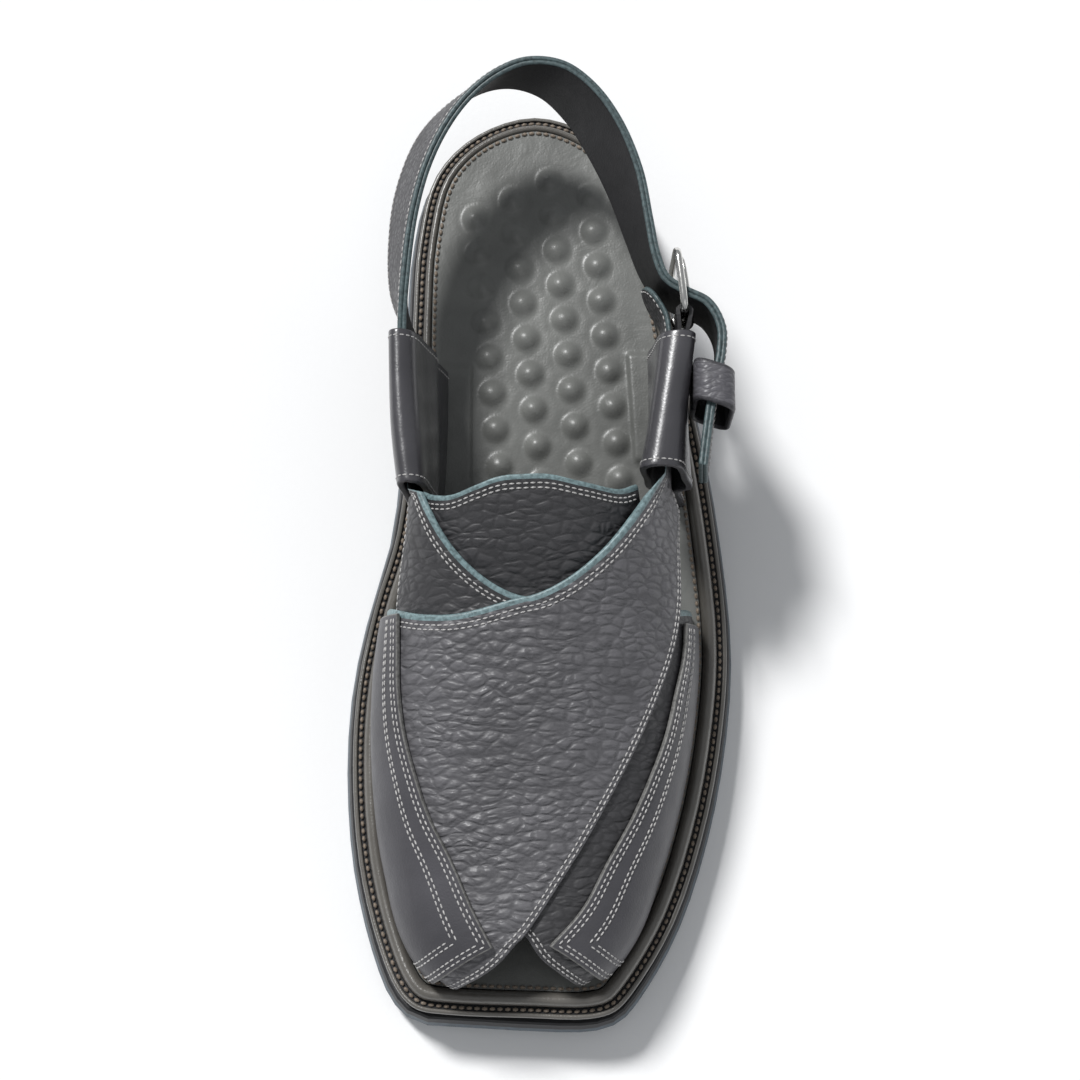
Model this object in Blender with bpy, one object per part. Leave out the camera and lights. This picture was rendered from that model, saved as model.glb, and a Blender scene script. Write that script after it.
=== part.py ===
"""A peshawari chappal for the left foot: a flat sandal of two crossed leather wings over an
instep tongue, with folded side loops, a heel strap and a buckle.

Run with: blender --background --python part.py

The frame: the toe points to -Y, the heel to +Y, the outer side of the foot is +X, and the
tread stands on z = 0. Lengths below are millimetres, and the meshes are made in metres.
The sole is drawn from its outline. The upper is drawn on a last: each point on the last has
a place along the sole (0 at the heel, 1 at the toe) and a place across it (-1 at the inner
edge, 0 on the crown, 1 at the outer edge).
"""

import bpy
import bmesh
import numpy as np

MILLIMETRE = 0.001

# Driving sizes of the sole
SOLE_LENGTH = 285.0
BALL_WIDTH = 115.5
OUTSOLE_THICK = 9.5
MIDSOLE_THICK = 2.4
WELT_THICK = 3.5
HEEL_HEIGHT = 12.0
TOE_SPRING = 6.0
TOE_SPRING_POWER = 1.8
OUTSOLE_FLARE = 2.6
OUTSOLE_LIP = 1.0
OUTSOLE_TOE_LIP = 0.7
MIDSOLE_INSET = 0.8
EDGE_CHAMFER = 0.7

# Driving sizes of the rand, the moulded rim that stands on the welt round the foot
RAND_SETBACK = 3.3
RAND_WIDTH = 4.6
RAND_HEIGHT = 4.3
HEEL_RAND_SHARE = 0.52
RAND_NARROW_REAR_SHARE = 0.20
RAND_NARROW_FRONT_SHARE = 0.50

# Driving sizes of the footbed and its massage knobs
FOOTBED_THICK = 2.0
KNOB_DIAMETER = 7.0
KNOB_HEIGHT = 1.9
KNOB_SUNK = 0.6
KNOB_SIDES = 6
KNOB_PITCH = 11.5
KNOB_COLUMN_GAP = 12.4
KNOB_SLANT_SHARE = 0.10
KNOB_FIELD_SHARES = (0.075, 0.535)
KNOB_COLUMN_SHIFT_SHARE = 0.21
KNOB_ROW_SHIFT_SHARE = 0.85
KNOB_ROW_SLANT_SHARE = 0.05

# Driving sizes of the last and the leather on it
INSTEP_HEIGHT = 62.0
WING_WALL = 2.2
WING_LAP = 0.9
TONGUE_WALL = 1.8
PANEL_WALL = 1.3
SIDE_BULGE_SHARE = 0.05
TOE_BULGE = 2.4
FEATHER_SLOPE_RUN = 12.0

# Driving sizes of the loops, the strap and the buckle
LOOP_WALL = 2.0
LOOP_TOP = 76.0
MEDIAL_SLOT = 5.2
LATERAL_SLOT = 7.2
SEAM_GAP = 0.5
LOOP_SETBACK = 1.0
STRAP_THICK = 2.8
STRAP_WIDTH = 22.0
STRAP_RISE = 79.0
GUARD_THICK = 1.6
GUARD_WIDTH = 20.0
ANCHOR_THICK = 1.2
ANCHOR_WIDTH = 20.0
ANCHOR_GAP = 2.3
KEEPER_WALL = 1.6
KEEPER_LENGTH = 13.0
KEEPER_ROUNDING = 3.0
KEEPER_SKEW = 3.5
BUCKLE_WIRE = 2.5
BUCKLE_LENGTH = 19.0
BUCKLE_ROUNDING = 3.5
BUCKLE_SLACK = 0.8
BAR_SHIFT = 3.0
BAR_SETBACK = 4.4
PRONG_WIRE = 2.2
PRONG_HOLE = 3.6
PRONG_TIP = 1.2

# Clearances between neighbours
CLEAR = 0.3
LAYER_CLEAR = 0.45

# How finely the curved pieces are drawn
OUTLINE_STEPS = 4
SOLE_STATIONS = 38
WING_ROWS = 27
WING_COLUMNS = 12
TONGUE_ROWS = 18
TONGUE_COLUMNS = 9
PANEL_ROWS = 18
PANEL_COLUMNS = 8
LOOP_ROWS = 9
STRAP_ROWS = 66
GUARD_ROWS = 13
ANCHOR_ROWS = 30
WIRE_SIDES = 8
END_TRIM = 0.1
SHARP_ANGLE = 0.7

# The welt's outline, from the heel down the medial side and back: place, along (share of sole
# length), across (share of ball width)
OUTLINE = (
    ("heel back", 0.000, -0.013),
    ("heel back medial", 0.022, -0.175),
    ("heel medial", 0.070, -0.285),
    ("seat medial", 0.150, -0.332),
    ("seat front medial", 0.240, -0.344),
    ("waist medial", 0.360, -0.352),
    ("joint rear medial", 0.475, -0.382),
    ("joint medial", 0.560, -0.444),
    ("ball rear medial", 0.640, -0.484),
    ("ball medial", 0.730, -0.495),
    ("ball front medial", 0.835, -0.474),
    ("toe side medial", 0.920, -0.422),
    ("toe corner rear medial", 0.972, -0.366),
    ("toe corner medial", 0.990, -0.318),
    ("toe medial", 0.9955, -0.240),
    ("toe", 0.999, -0.030),
    ("toe lateral", 1.000, 0.130),
    ("toe corner lateral", 0.9925, 0.196),
    ("toe corner rear lateral", 0.973, 0.243),
    ("toe side lateral", 0.898, 0.355),
    ("ball front lateral", 0.780, 0.450),
    ("ball lateral", 0.660, 0.499),
    ("ball rear lateral", 0.585, 0.506),
    ("joint lateral", 0.500, 0.485),
    ("waist lateral", 0.400, 0.446),
    ("seat front lateral", 0.285, 0.386),
    ("seat lateral", 0.160, 0.322),
    ("heel lateral", 0.070, 0.255),
    ("heel back lateral", 0.020, 0.140),
)

# The outsole's underside: place, along, height (share of heel height)
UNDERSIDE = (
    ("heel back", 0.00, 1.00),
    ("seat", 0.20, 1.00),
    ("breast", 0.33, 0.94),
    ("waist", 0.43, 0.66),
    ("shank", 0.52, 0.26),
    ("tread rear", 0.60, 0.00),
    ("tread front", 0.83, 0.00),
)
BREAST_SHARE = 0.332

# Sections of the last: place, along, crown (share of instep height), squareness, lean (share)
SECTIONS = (
    ("ankle", 0.25, 1.08, 4.2, -0.14),
    ("loops", 0.38, 1.06, 4.0, -0.19),
    ("collar", 0.45, 1.00, 3.4, -0.22),
    ("instep", 0.50, 0.93, 3.0, -0.21),
    ("waist", 0.58, 0.78, 2.7, -0.18),
    ("ball", 0.70, 0.60, 2.5, -0.15),
    ("toes", 0.82, 0.44, 2.5, -0.12),
    ("cap", 0.92, 0.34, 2.5, -0.08),
    ("front", 1.00, 0.28, 2.5, -0.05),
)
CAP_SHARE = 0.86
CAP_POWER = 3.0

# Edges of a wing, from its loop round to the far edge of the sole: place, along, across on the
# lateral wing, across on the medial wing (both counted towards the wing's own loop)
WING_TOP = (
    ("loop", 0.479, 0.570, 0.480),
    ("collar", 0.500, 0.460, 0.390),
    ("instep", 0.540, 0.265, 0.225),
    ("crossing rear", 0.572, 0.090, 0.070),
    ("crossing", 0.590, -0.040, -0.050),
    ("crossing front", 0.600, -0.200, -0.200),
    ("far side", 0.598, -0.380, -0.380),
    ("far wall", 0.585, -0.640, -0.640),
    ("far edge", 0.566, -1.000, -1.000),
)
WING_OUTER = (
    ("loop", 0.475, 0.880, 0.750),
    ("collar", 0.520, 0.780, 0.690),
    ("side", 0.605, 0.665, 0.640),
    ("ball", 0.700, 0.500, 0.500),
    ("toes", 0.790, 0.325, 0.325),
    ("cap", 0.845, 0.210, 0.210),
    ("vamp point", 0.920, 0.015, -0.025),
    ("toe opening", 0.942, -0.055, -0.100),
    ("opening side", 0.963, -0.230, -0.300),
    ("opening foot", 0.976, -0.720, -0.720),
    ("toe edge", 0.974, -1.000, -1.000),
)

# The tongue: place, along, across
TONGUE_REAR = (
    ("medial corner", 0.474, -0.560),
    ("medial", 0.4825, -0.420),
    ("medial crown", 0.486, -0.260),
    ("crown medial", 0.479, -0.120),
    ("crown", 0.469, 0.020),
    ("crown lateral", 0.474, 0.220),
    ("lateral", 0.4755, 0.450),
    ("lateral corner", 0.465, 0.600),
)
TONGUE_FRONT_SHARE = 0.668
TONGUE_FRONT_WIDE_SHARE = 0.600

# Inner edge of the smooth side panels, rear to toe: place, along, across (share to the panel's
# own side) of the medial panel, and of the lateral panel
PANEL_INNER = (
    ("rear", 0.594, 0.530, 0.735),
    ("wall", 0.628, 0.510, 0.710),
    ("waist", 0.668, 0.500, 0.660),
    ("ball", 0.708, 0.475, 0.620),
    ("toes rear", 0.760, 0.412, 0.540),
    ("toes", 0.802, 0.350, 0.470),
    ("cap rear", 0.840, 0.270, 0.390),
    ("cap", 0.886, 0.190, 0.300),
    ("corner", 0.928, 0.100, 0.142),
)
PANEL_FOOT_REAR_SHARE = 0.585
PANEL_FOOT_TOE_SHARE = 0.958
PANEL_TOE_SWELL_SHARE = 0.012

# A side loop, front to rear: place, along, top across, tube width (share of its slot)
MEDIAL_LOOP = (
    ("front", 0.468, -0.336, 0.90),
    ("front middle", 0.430, -0.348, 1.00),
    ("middle", 0.400, -0.356, 1.00),
    ("rear middle", 0.350, -0.364, 0.90),
    ("rear", 0.304, -0.368, 0.86),
)
LATERAL_LOOP = (
    ("front", 0.450, 0.298, 1.30),
    ("front middle", 0.420, 0.310, 1.12),
    ("middle", 0.377, 0.326, 1.00),
    ("rear middle", 0.340, 0.342, 1.00),
    ("rear", 0.304, 0.356, 1.00),
)
LOOP_SEAM_TOP_SHARE = 0.34
LOOP_TUBE_FOOT_SHARE = 0.43
LOOP_STRAP_TOP_SHARE = 0.935
WING_TAB = 5.0
WING_TAB_GAP = 1.0
WING_TAB_TOP_SHARE = 0.90
WING_TAB_FALL_SHARE = 0.34
WING_COLUMN_EASE_SHARE = 0.25

# The part of the heel strap that lies in the medial loop: place, along
STRAP_IN_LOOP = (("fixed end", 0.425), ("in the loop", 0.365), ("loop mouth", 0.312))
# The heel strap from there to its free end: place, top edge along and across, lower edge along
# and across, rise of the top edge (share of strap rise)
HEEL_STRAP = (
    ("seat medial", 0.252, -0.352, 0.248, -0.384, 0.955),
    ("heel side medial", 0.180, -0.330, 0.174, -0.392, 0.980),
    ("heel medial", 0.128, -0.296, 0.122, -0.370, 1.000),
    ("heel turn medial", 0.084, -0.246, 0.074, -0.322, 1.010),
    ("heel back medial", 0.050, -0.186, 0.040, -0.252, 1.015),
    ("heel back", 0.025, -0.112, 0.016, -0.168, 1.020),
    ("heel crown", 0.012, -0.035, 0.009, -0.085, 1.020),
    ("heel back lateral", 0.015, 0.056, 0.020, 0.000, 1.015),
    ("heel turn lateral", 0.038, 0.136, 0.050, 0.074, 1.005),
    ("heel lateral", 0.078, 0.206, 0.094, 0.140, 0.990),
    ("heel side lateral", 0.128, 0.255, 0.136, 0.192, 0.970),
    ("seat side lateral", 0.180, 0.279, 0.182, 0.236, 0.955),
    ("seat lateral", 0.220, 0.297, 0.222, 0.276, 0.945),
    ("buckle inside", 0.245, 0.322, 0.247, 0.318, 0.940),
    ("through the buckle", 0.259, 0.372, 0.260, 0.374, 0.940),
    ("bulge rear", 0.272, 0.430, 0.273, 0.434, 0.940),
    ("bulge", 0.298, 0.462, 0.298, 0.467, 0.940),
    ("bulge front", 0.328, 0.460, 0.328, 0.466, 0.940),
    ("keeper", 0.362, 0.442, 0.362, 0.450, 0.940),
    ("free side", 0.400, 0.426, 0.400, 0.436, 0.940),
    ("free tip", 0.448, 0.410, 0.448, 0.424, 0.940),
)

# The guard between the buckle and the foot, behind the loop: place, along, across
GUARD = (
    ("bend", 0.284, 0.324),
    ("side", 0.264, 0.299),
    ("tip", 0.244, 0.268),
)
GUARD_IN_LOOP = (("in the loop", 0.360), ("loop rear", 0.312))
GUARD_TOP_SHARE = 0.90
ANCHOR_IN_LOOP = (("in the loop", 0.360), ("loop rear", 0.316), ("loop mouth", 0.302))
ANCHOR_TOP_SHARE = 0.92
BUCKLE_REAR_SHARE = 0.350
BUCKLE_LOOP_SHARE = 0.70
PRONG_HOLE_RUN_SHARES = (0.10, 0.75)
KEEPER_PLACE_SHARE = 0.355
KEEPER_LOOP_SHARES = (0.45, 0.70, 0.90)


def smooth_curve(points, steps, closed=False):
    """Points on a centripetal Catmull-Rom curve through the given points."""
    points = np.array(points, float)
    count = len(points)
    if closed:
        around = np.vstack([points[-1:], points, points[:2]])
        spans = count
    else:
        first = 2 * points[0] - points[1]
        last = 2 * points[-1] - points[-2]
        around = np.vstack([first, points, last])
        spans = count - 1
    curve = []
    for i in range(spans):
        a, b, c, d = around[i : i + 4]
        ta = 0.0
        tb = ta + np.linalg.norm(b - a) ** 0.5
        tc = tb + np.linalg.norm(c - b) ** 0.5
        td = tc + np.linalg.norm(d - c) ** 0.5
        for step in range(steps):
            t = tb + (tc - tb) * step / steps
            ab = ((tb - t) * a + (t - ta) * b) / (tb - ta)
            bc = ((tc - t) * b + (t - tb) * c) / (tc - tb)
            cd = ((td - t) * c + (t - tc) * d) / (td - tc)
            left = ((tc - t) * ab + (t - ta) * bc) / (tc - ta)
            right = ((td - t) * bc + (t - tb) * cd) / (td - tb)
            curve.append(((tc - t) * left + (t - tb) * right) / (tc - tb))
    if not closed:
        curve.append(points[-1])
    return np.array(curve)


def even_curve(points, count):
    """A smooth open curve through the points, cut into points at even steps of its length."""
    curve = smooth_curve(points, 12)
    run = np.concatenate([[0], np.cumsum(np.linalg.norm(np.diff(curve, axis=0), axis=1))])
    places = np.linspace(0, run[-1], count)
    return np.stack([np.interp(places, run, column) for column in curve.T], axis=-1)


def blend(x, xs, ys):
    """A smooth curve through (xs, ys) that makes no hump between its points."""
    xs = np.array(xs, float)
    ys = np.array(ys, float)
    x = np.clip(np.asarray(x, float), xs[0], xs[-1])
    steps = np.diff(xs)
    slopes = np.diff(ys) / steps
    ends = np.zeros(len(xs))
    ends[0] = slopes[0]
    ends[-1] = slopes[-1]
    for i in range(1, len(xs) - 1):
        before, after = slopes[i - 1], slopes[i]
        if before * after > 0:
            near = 2 * steps[i] + steps[i - 1]
            far = steps[i] + 2 * steps[i - 1]
            ends[i] = (near + far) / (near / before + far / after)
    i = np.clip(np.searchsorted(xs, x, side="right") - 1, 0, len(xs) - 2)
    t = (x - xs[i]) / steps[i]
    rise = ys[i] * (1 + 2 * t) * (1 - t) ** 2 + ys[i + 1] * t * t * (3 - 2 * t)
    return rise + steps[i] * (ends[i] * t * (1 - t) ** 2 + ends[i + 1] * t * t * (t - 1))


def column(table, index):
    return [row[index] for row in table]


def y_at(along):
    return SOLE_LENGTH * (0.5 - np.asarray(along, float))


def along_at(y):
    return 0.5 - np.asarray(y, float) / SOLE_LENGTH


def x_at(across):
    return BALL_WIDTH * np.asarray(across, float)


def underside(y):
    """Height of the outsole's underside."""
    along = along_at(y)
    height = HEEL_HEIGHT * blend(along, column(UNDERSIDE, 1), column(UNDERSIDE, 2))
    tread_front = UNDERSIDE[-1][1]
    spring = np.clip((along - tread_front) / (1 - tread_front), 0, None)
    return height + TOE_SPRING * spring**TOE_SPRING_POWER


MIDSOLE_FOOT = OUTSOLE_THICK + CLEAR
WELT_FOOT = MIDSOLE_FOOT + MIDSOLE_THICK + CLEAR
WELT_TOP = WELT_FOOT + WELT_THICK
FOOTBED_FOOT = WELT_TOP + CLEAR
FOOTBED_TOP = FOOTBED_FOOT + FOOTBED_THICK
UPPER_FOOT = FOOTBED_TOP + CLEAR

OUTLINE_CURVE = smooth_curve(
    [(x_at(across), y_at(along)) for _, along, across in OUTLINE], OUTLINE_STEPS, closed=True
)


def heel_share(y):
    """The rand's width as a share of its full width: it narrows from the waist to the heel."""
    t = (along_at(y) - RAND_NARROW_REAR_SHARE) / (RAND_NARROW_FRONT_SHARE - RAND_NARROW_REAR_SHARE)
    t = np.clip(t, 0, 1)
    return HEEL_RAND_SHARE + (1 - HEEL_RAND_SHARE) * t * t * (3 - 2 * t)


def rand_inset(y):
    """How far the rand's inner face lies inside the welt's edge."""
    return RAND_SETBACK + RAND_WIDTH * heel_share(y)


def inset_curve(inset):
    """The outline moved inwards by inset, a length or a function of y."""
    curve = OUTLINE_CURVE
    tangent = np.roll(curve, -1, axis=0) - np.roll(curve, 1, axis=0)
    tangent /= np.linalg.norm(tangent, axis=1)[:, None]
    inward = np.stack([-tangent[:, 1], tangent[:, 0]], axis=-1)
    depth = inset(curve[:, 1]) if callable(inset) else np.full(len(curve), float(inset))
    return curve + inward * depth[:, None]


def sides_of(curve):
    """The medial and the lateral run of a closed curve, both from heel to toe."""
    curve = np.roll(curve, -int(np.argmax(curve[:, 1])), axis=0)
    toe = int(np.argmin(curve[:, 1]))
    medial = curve[: toe + 1]
    lateral = np.vstack([curve[toe:], curve[:1]])[::-1]
    return medial, lateral


def side_x(side, y, inset=0.0):
    """The outline's x at y, on the medial (-1) or the lateral (1) side."""
    run = sides_of(inset_curve(inset))[(side + 1) // 2]
    return np.interp(-np.asarray(y, float), -run[:, 1], run[:, 0])


def sole_loop(inset, rise, front_along=1.0):
    """A closed loop of points round the sole. It runs down the medial side to the toe and back
    up the lateral side, with a pair of points at each station."""
    curve = inset_curve(inset)
    high = curve[:, 1].max() - END_TRIM
    low = curve[:, 1].min() + END_TRIM
    turn = np.linspace(0, np.pi, SOLE_STATIONS)
    y = low + (high - low) * (1 + np.cos(turn)) / 2
    if front_along < 1.0:
        low = float(y_at(front_along))
        y = low + (high - low) * np.cos(turn / 2)
    medial, lateral = sides_of(curve)
    left = np.interp(-y, -medial[:, 1], medial[:, 0])
    right = np.interp(-y, -lateral[:, 1], lateral[:, 0])
    z = rise(y) if callable(rise) else np.full(len(y), float(rise))
    down = np.stack([left, y, z], axis=-1)
    up = np.stack([right, y, z], axis=-1)[::-1]
    return np.vstack([down, up])


def above(height):
    """A height above the outsole's underside, as a function of y."""
    return lambda y: underside(y) + height


def material(name, colour, roughness, metallic=0.0):
    shade = bpy.data.materials.new(name)
    shade.use_nodes = True
    surface = shade.node_tree.nodes["Principled BSDF"]
    surface.inputs["Base Color"].default_value = (*colour, 1.0)
    surface.inputs["Roughness"].default_value = roughness
    surface.inputs["Metallic"].default_value = metallic
    return shade


def new_object(name, points, faces, shade, root, smooth=True):
    """A mesh object from millimetre points, facing outwards."""
    mesh = bpy.data.meshes.new(name)
    mesh.from_pydata((np.asarray(points) * MILLIMETRE).tolist(), [], faces)
    work = bmesh.new()
    work.from_mesh(mesh)
    bmesh.ops.triangulate(work, faces=[face for face in work.faces if len(face.verts) > 4])
    bmesh.ops.recalc_face_normals(work, faces=work.faces)
    if work.calc_volume(signed=True) < 0:
        bmesh.ops.reverse_faces(work, faces=work.faces)
    work.to_mesh(mesh)
    work.free()
    if smooth:
        mesh.shade_smooth()
        mesh.set_sharp_from_angle(angle=SHARP_ANGLE)
    mesh.materials.append(shade)
    thing = bpy.data.objects.new(name, mesh)
    thing.parent = root
    bpy.context.scene.collection.objects.link(thing)
    return thing


def loop_walls(levels, count, around=False):
    """Quads between each level of a loft and the next, and from the last to the first."""
    faces = []
    pairs = levels if around else levels - 1
    for level in range(pairs):
        low = level * count
        high = (level + 1) % levels * count
        for i in range(count):
            j = (i + 1) % count
            faces.append((low + i, low + j, high + j, high + i))
    return faces


def sole_plate(name, levels, shade, root, front_along=1.0):
    """A layer of the sole: levels are (inset, height) from its underside up."""
    loops = [sole_loop(inset, rise, front_along) for inset, rise in levels]
    count = len(loops[0])
    faces = loop_walls(len(loops), count)
    for base in (0, (len(loops) - 1) * count):
        for i in range(count // 2 - 1):
            j = count - 1 - i
            faces.append((base + i, base + i + 1, base + j - 1, base + j))
    return new_object(name, np.vstack(loops), faces, shade, root)


def sole_ring(name, profile, shade, root):
    """A ring that runs round the sole: profile is (inset, height) round its section."""
    loops = [sole_loop(inset, rise) for inset, rise in profile]
    faces = loop_walls(len(loops), len(loops[0]), around=True)
    return new_object(name, np.vstack(loops), faces, shade, root)


def make_heel(shade, root):
    levels = (
        (-OUTSOLE_FLARE + 2 * EDGE_CHAMFER, 0.0),
        (-OUTSOLE_FLARE + EDGE_CHAMFER, EDGE_CHAMFER),
        (-OUTSOLE_FLARE, above(-CLEAR)),
    )
    return sole_plate("heel", levels, shade, root, BREAST_SHARE)


def outsole_inset(lip):
    """The outsole stands out from the welt by a lip, and a little more round the toe."""

    def inset(y):
        toe = np.clip((along_at(y) - CAP_SHARE) / (1 - CAP_SHARE), 0, 1)
        return -lip - OUTSOLE_TOE_LIP * toe**2

    return inset


def make_outsole(shade, root):
    levels = (
        (outsole_inset(OUTSOLE_FLARE - EDGE_CHAMFER), above(0.0)),
        (outsole_inset(OUTSOLE_FLARE), above(EDGE_CHAMFER)),
        (outsole_inset(OUTSOLE_LIP), above(OUTSOLE_THICK - EDGE_CHAMFER)),
        (outsole_inset(OUTSOLE_LIP - EDGE_CHAMFER), above(OUTSOLE_THICK)),
    )
    return sole_plate("outsole", levels, shade, root)


def make_midsole(shade, root):
    levels = (
        (MIDSOLE_INSET, above(MIDSOLE_FOOT)),
        (MIDSOLE_INSET, above(MIDSOLE_FOOT + MIDSOLE_THICK)),
    )
    return sole_plate("midsole", levels, shade, root)


def make_welt(shade, root):
    levels = (
        (EDGE_CHAMFER, above(WELT_FOOT)),
        (0.0, above(WELT_FOOT + EDGE_CHAMFER)),
        (0.0, above(WELT_TOP - EDGE_CHAMFER)),
        (EDGE_CHAMFER, above(WELT_TOP)),
    )
    return sole_plate("welt", levels, shade, root)


def rand_at(width_share, height_share):
    """A corner of the rand's section, as (inset, height) functions."""

    def inset(y):
        return RAND_SETBACK + RAND_WIDTH * heel_share(y) * width_share

    def rise(y):
        return underside(y) + WELT_TOP + CLEAR + RAND_HEIGHT * heel_share(y) * height_share

    return inset, rise


def make_rand(shade, root):
    profile = (
        rand_at(0.00, 0.00),
        rand_at(0.03, 0.62),
        rand_at(0.22, 0.93),
        rand_at(0.50, 1.00),
        rand_at(0.80, 0.92),
        rand_at(1.00, 0.60),
        rand_at(1.00, 0.00),
    )
    return sole_ring("rand", profile, shade, root)


def knob_places():
    """Centres of the footbed's knobs, in slanting columns with every other one half a step on."""
    places = []
    rows = int(SOLE_LENGTH / KNOB_PITCH)
    margin = LOOP_SETBACK + 2 * LOOP_WALL + SEAM_GAP + KNOB_DIAMETER / 2 + LAYER_CLEAR
    for number in (-2, -1, 0, 1, 2):
        for row in range(-rows, rows):
            step = row + KNOB_ROW_SHIFT_SHARE + 0.5 * (number % 2) + KNOB_ROW_SLANT_SHARE * number
            y = step * KNOB_PITCH
            x = (number + KNOB_COLUMN_SHIFT_SHARE) * KNOB_COLUMN_GAP - KNOB_SLANT_SHARE * y
            inner = side_x(-1, y, rand_inset) + margin
            outer = side_x(1, y, rand_inset) - margin
            if inner < x < outer and y_at(KNOB_FIELD_SHARES[1]) < y < y_at(KNOB_FIELD_SHARES[0]):
                places.append((x, y))
    return places


def combine(target, other, operation):
    """Joins other into target, or cuts it out, with a Boolean, and hides other."""
    other.hide_render = True
    other.display_type = "WIRE"
    change = target.modifiers.new(other.name, "BOOLEAN")
    change.operation = operation
    change.object = other


def make_knobs(shade, root):
    """All the knobs as one hidden mesh of low domes, sunk a little into the footbed."""
    rings = ((1.0, -KNOB_SUNK), (0.90, 0.45 * KNOB_HEIGHT), (0.45, KNOB_HEIGHT))
    sides = KNOB_SIDES
    points = []
    faces = []
    for x, y in knob_places():
        base = len(points)
        floor = float(underside(y)) + FOOTBED_TOP
        for share, height in rings:
            reach = share * KNOB_DIAMETER / 2
            for k in range(sides):
                angle = 2 * np.pi * (k + 0.5) / sides
                points.append(
                    (x + reach * np.cos(angle), y + reach * np.sin(angle), floor + height)
                )
        walls = loop_walls(len(rings), sides)
        faces += [tuple(base + corner for corner in face) for face in walls]
        faces.append(tuple(base + k for k in reversed(range(sides))))
        top = base + (len(rings) - 1) * sides
        faces.append(tuple(top + k for k in range(sides)))
    return new_object("knobs", points, faces, shade, root)


def make_footbed(shade, root):
    def edge(y):
        return rand_inset(y) + CLEAR

    def edge_top(y):
        return rand_inset(y) + CLEAR + EDGE_CHAMFER

    levels = (
        (edge, above(FOOTBED_FOOT)),
        (edge, above(FOOTBED_TOP - EDGE_CHAMFER)),
        (edge_top, above(FOOTBED_TOP)),
    )
    footbed = sole_plate("footbed", levels, shade, root)
    combine(footbed, make_knobs(shade, root), "UNION")
    return footbed


# Layers of the upper, counted outwards from the last
MEDIAL_WING_OUT = TONGUE_WALL + LAYER_CLEAR
LATERAL_WING_OUT = MEDIAL_WING_OUT + WING_WALL - WING_LAP
MEDIAL_PANEL_OUT = LATERAL_WING_OUT + WING_WALL + LAYER_CLEAR
LATERAL_PANEL_OUT = MEDIAL_WING_OUT + WING_WALL + LAYER_CLEAR
MEDIAL_FEATHER = MEDIAL_PANEL_OUT + PANEL_WALL + 2 * LAYER_CLEAR
LATERAL_FEATHER = LATERAL_PANEL_OUT + PANEL_WALL + 3 * LAYER_CLEAR
TOE_FEATHER = LATERAL_WING_OUT + WING_WALL + LAYER_CLEAR


def feather_x(side, y):
    """The last's edge at y, inside the rand by the layers of leather that lie there."""
    layers = MEDIAL_FEATHER if side < 0 else LATERAL_FEATHER
    cap = float(y_at(CAP_SHARE))
    behind = np.maximum(y, cap)
    back = cap + FEATHER_SLOPE_RUN
    slope = (side_x(side, back, rand_inset) - side_x(side, cap, rand_inset)) / (back - cap)
    edge = side_x(side, behind, rand_inset) - side * layers * heel_share(behind)
    return edge + slope * (y - behind)


def last_point(across, along, out):
    """A point out from the last. In the toe cap, along turns round its front as an arc."""
    across, along = np.broadcast_arrays(np.asarray(across, float), np.asarray(along, float))
    cap = float(y_at(CAP_SHARE))
    front = float(y_at(1.0)) + RAND_SETBACK + RAND_WIDTH + TOE_FEATHER
    depth = cap - front
    turn = np.clip((along - CAP_SHARE) * SOLE_LENGTH / depth, 0, np.pi / 2)
    reach = np.sin(turn)
    shut = np.clip(1 - reach**CAP_POWER, 0, 1) ** (1 / CAP_POWER)
    plain = np.where(turn > 0, cap - depth * reach, y_at(along))
    angle = across * np.pi / 2
    square = blend(along_at(plain), column(SECTIONS, 1), column(SECTIONS, 3))
    rise = np.abs(np.cos(angle)) ** (2 / square)
    swell = 4 * rise * (1 - rise)
    y = plain - out * reach**2 - TOE_BULGE * swell * reach**4
    place = along_at(plain)
    crown = INSTEP_HEIGHT * blend(place, column(SECTIONS, 1), column(SECTIONS, 2))
    lean = blend(place, column(SECTIONS, 1), column(SECTIONS, 4))
    medial = feather_x(-1, plain)
    lateral = feather_x(1, plain)
    middle = (medial + lateral) / 2
    half = (lateral - medial) / 2 * shut + out
    side = np.sign(across) * np.abs(np.sin(angle)) ** (2 / square)
    bulge = 1 + SIDE_BULGE_SHARE * swell
    x = middle + half * side * bulge + lean * crown * shut * rise
    z = underside(y) + UPPER_FOOT + (crown * shut + out) * rise
    return np.stack([x, y, z], axis=-1)


def grid_faces(rows, columns, base, flip=False):
    faces = []
    for i in range(rows - 1):
        for j in range(columns - 1):
            a = base + i * columns + j
            quad = (a, a + 1, a + columns + 1, a + columns)
            faces.append(quad[::-1] if flip else quad)
    return faces


def leather(name, inner, outer, shade, root):
    """A sheet of leather between two grids of points of the same size."""
    rows, columns, _ = inner.shape
    count = rows * columns
    faces = grid_faces(rows, columns, 0) + grid_faces(rows, columns, count, flip=True)
    rim = list(range(columns))
    rim += [i * columns + columns - 1 for i in range(1, rows)]
    rim += [(rows - 1) * columns + j for j in range(columns - 2, -1, -1)]
    rim += [i * columns for i in range(rows - 2, 0, -1)]
    for here, there in zip(rim, rim[1:] + rim[:1]):
        faces.append((there, here, here + count, there + count))
    points = np.vstack([inner.reshape(-1, 3), outer.reshape(-1, 3)])
    return new_object(name, points, faces, shade, root)


def ruled(start, end, shares):
    """Rows of points that run from each point of one curve to its partner on the other."""
    shares = np.asarray(shares)[None, :, None]
    return start[:, None, :] * (1 - shares) + end[:, None, :] * shares


def loop_table(side):
    return MEDIAL_LOOP if side < 0 else LATERAL_LOOP


def loop_slot(side):
    return MEDIAL_SLOT if side < 0 else LATERAL_SLOT


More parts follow.
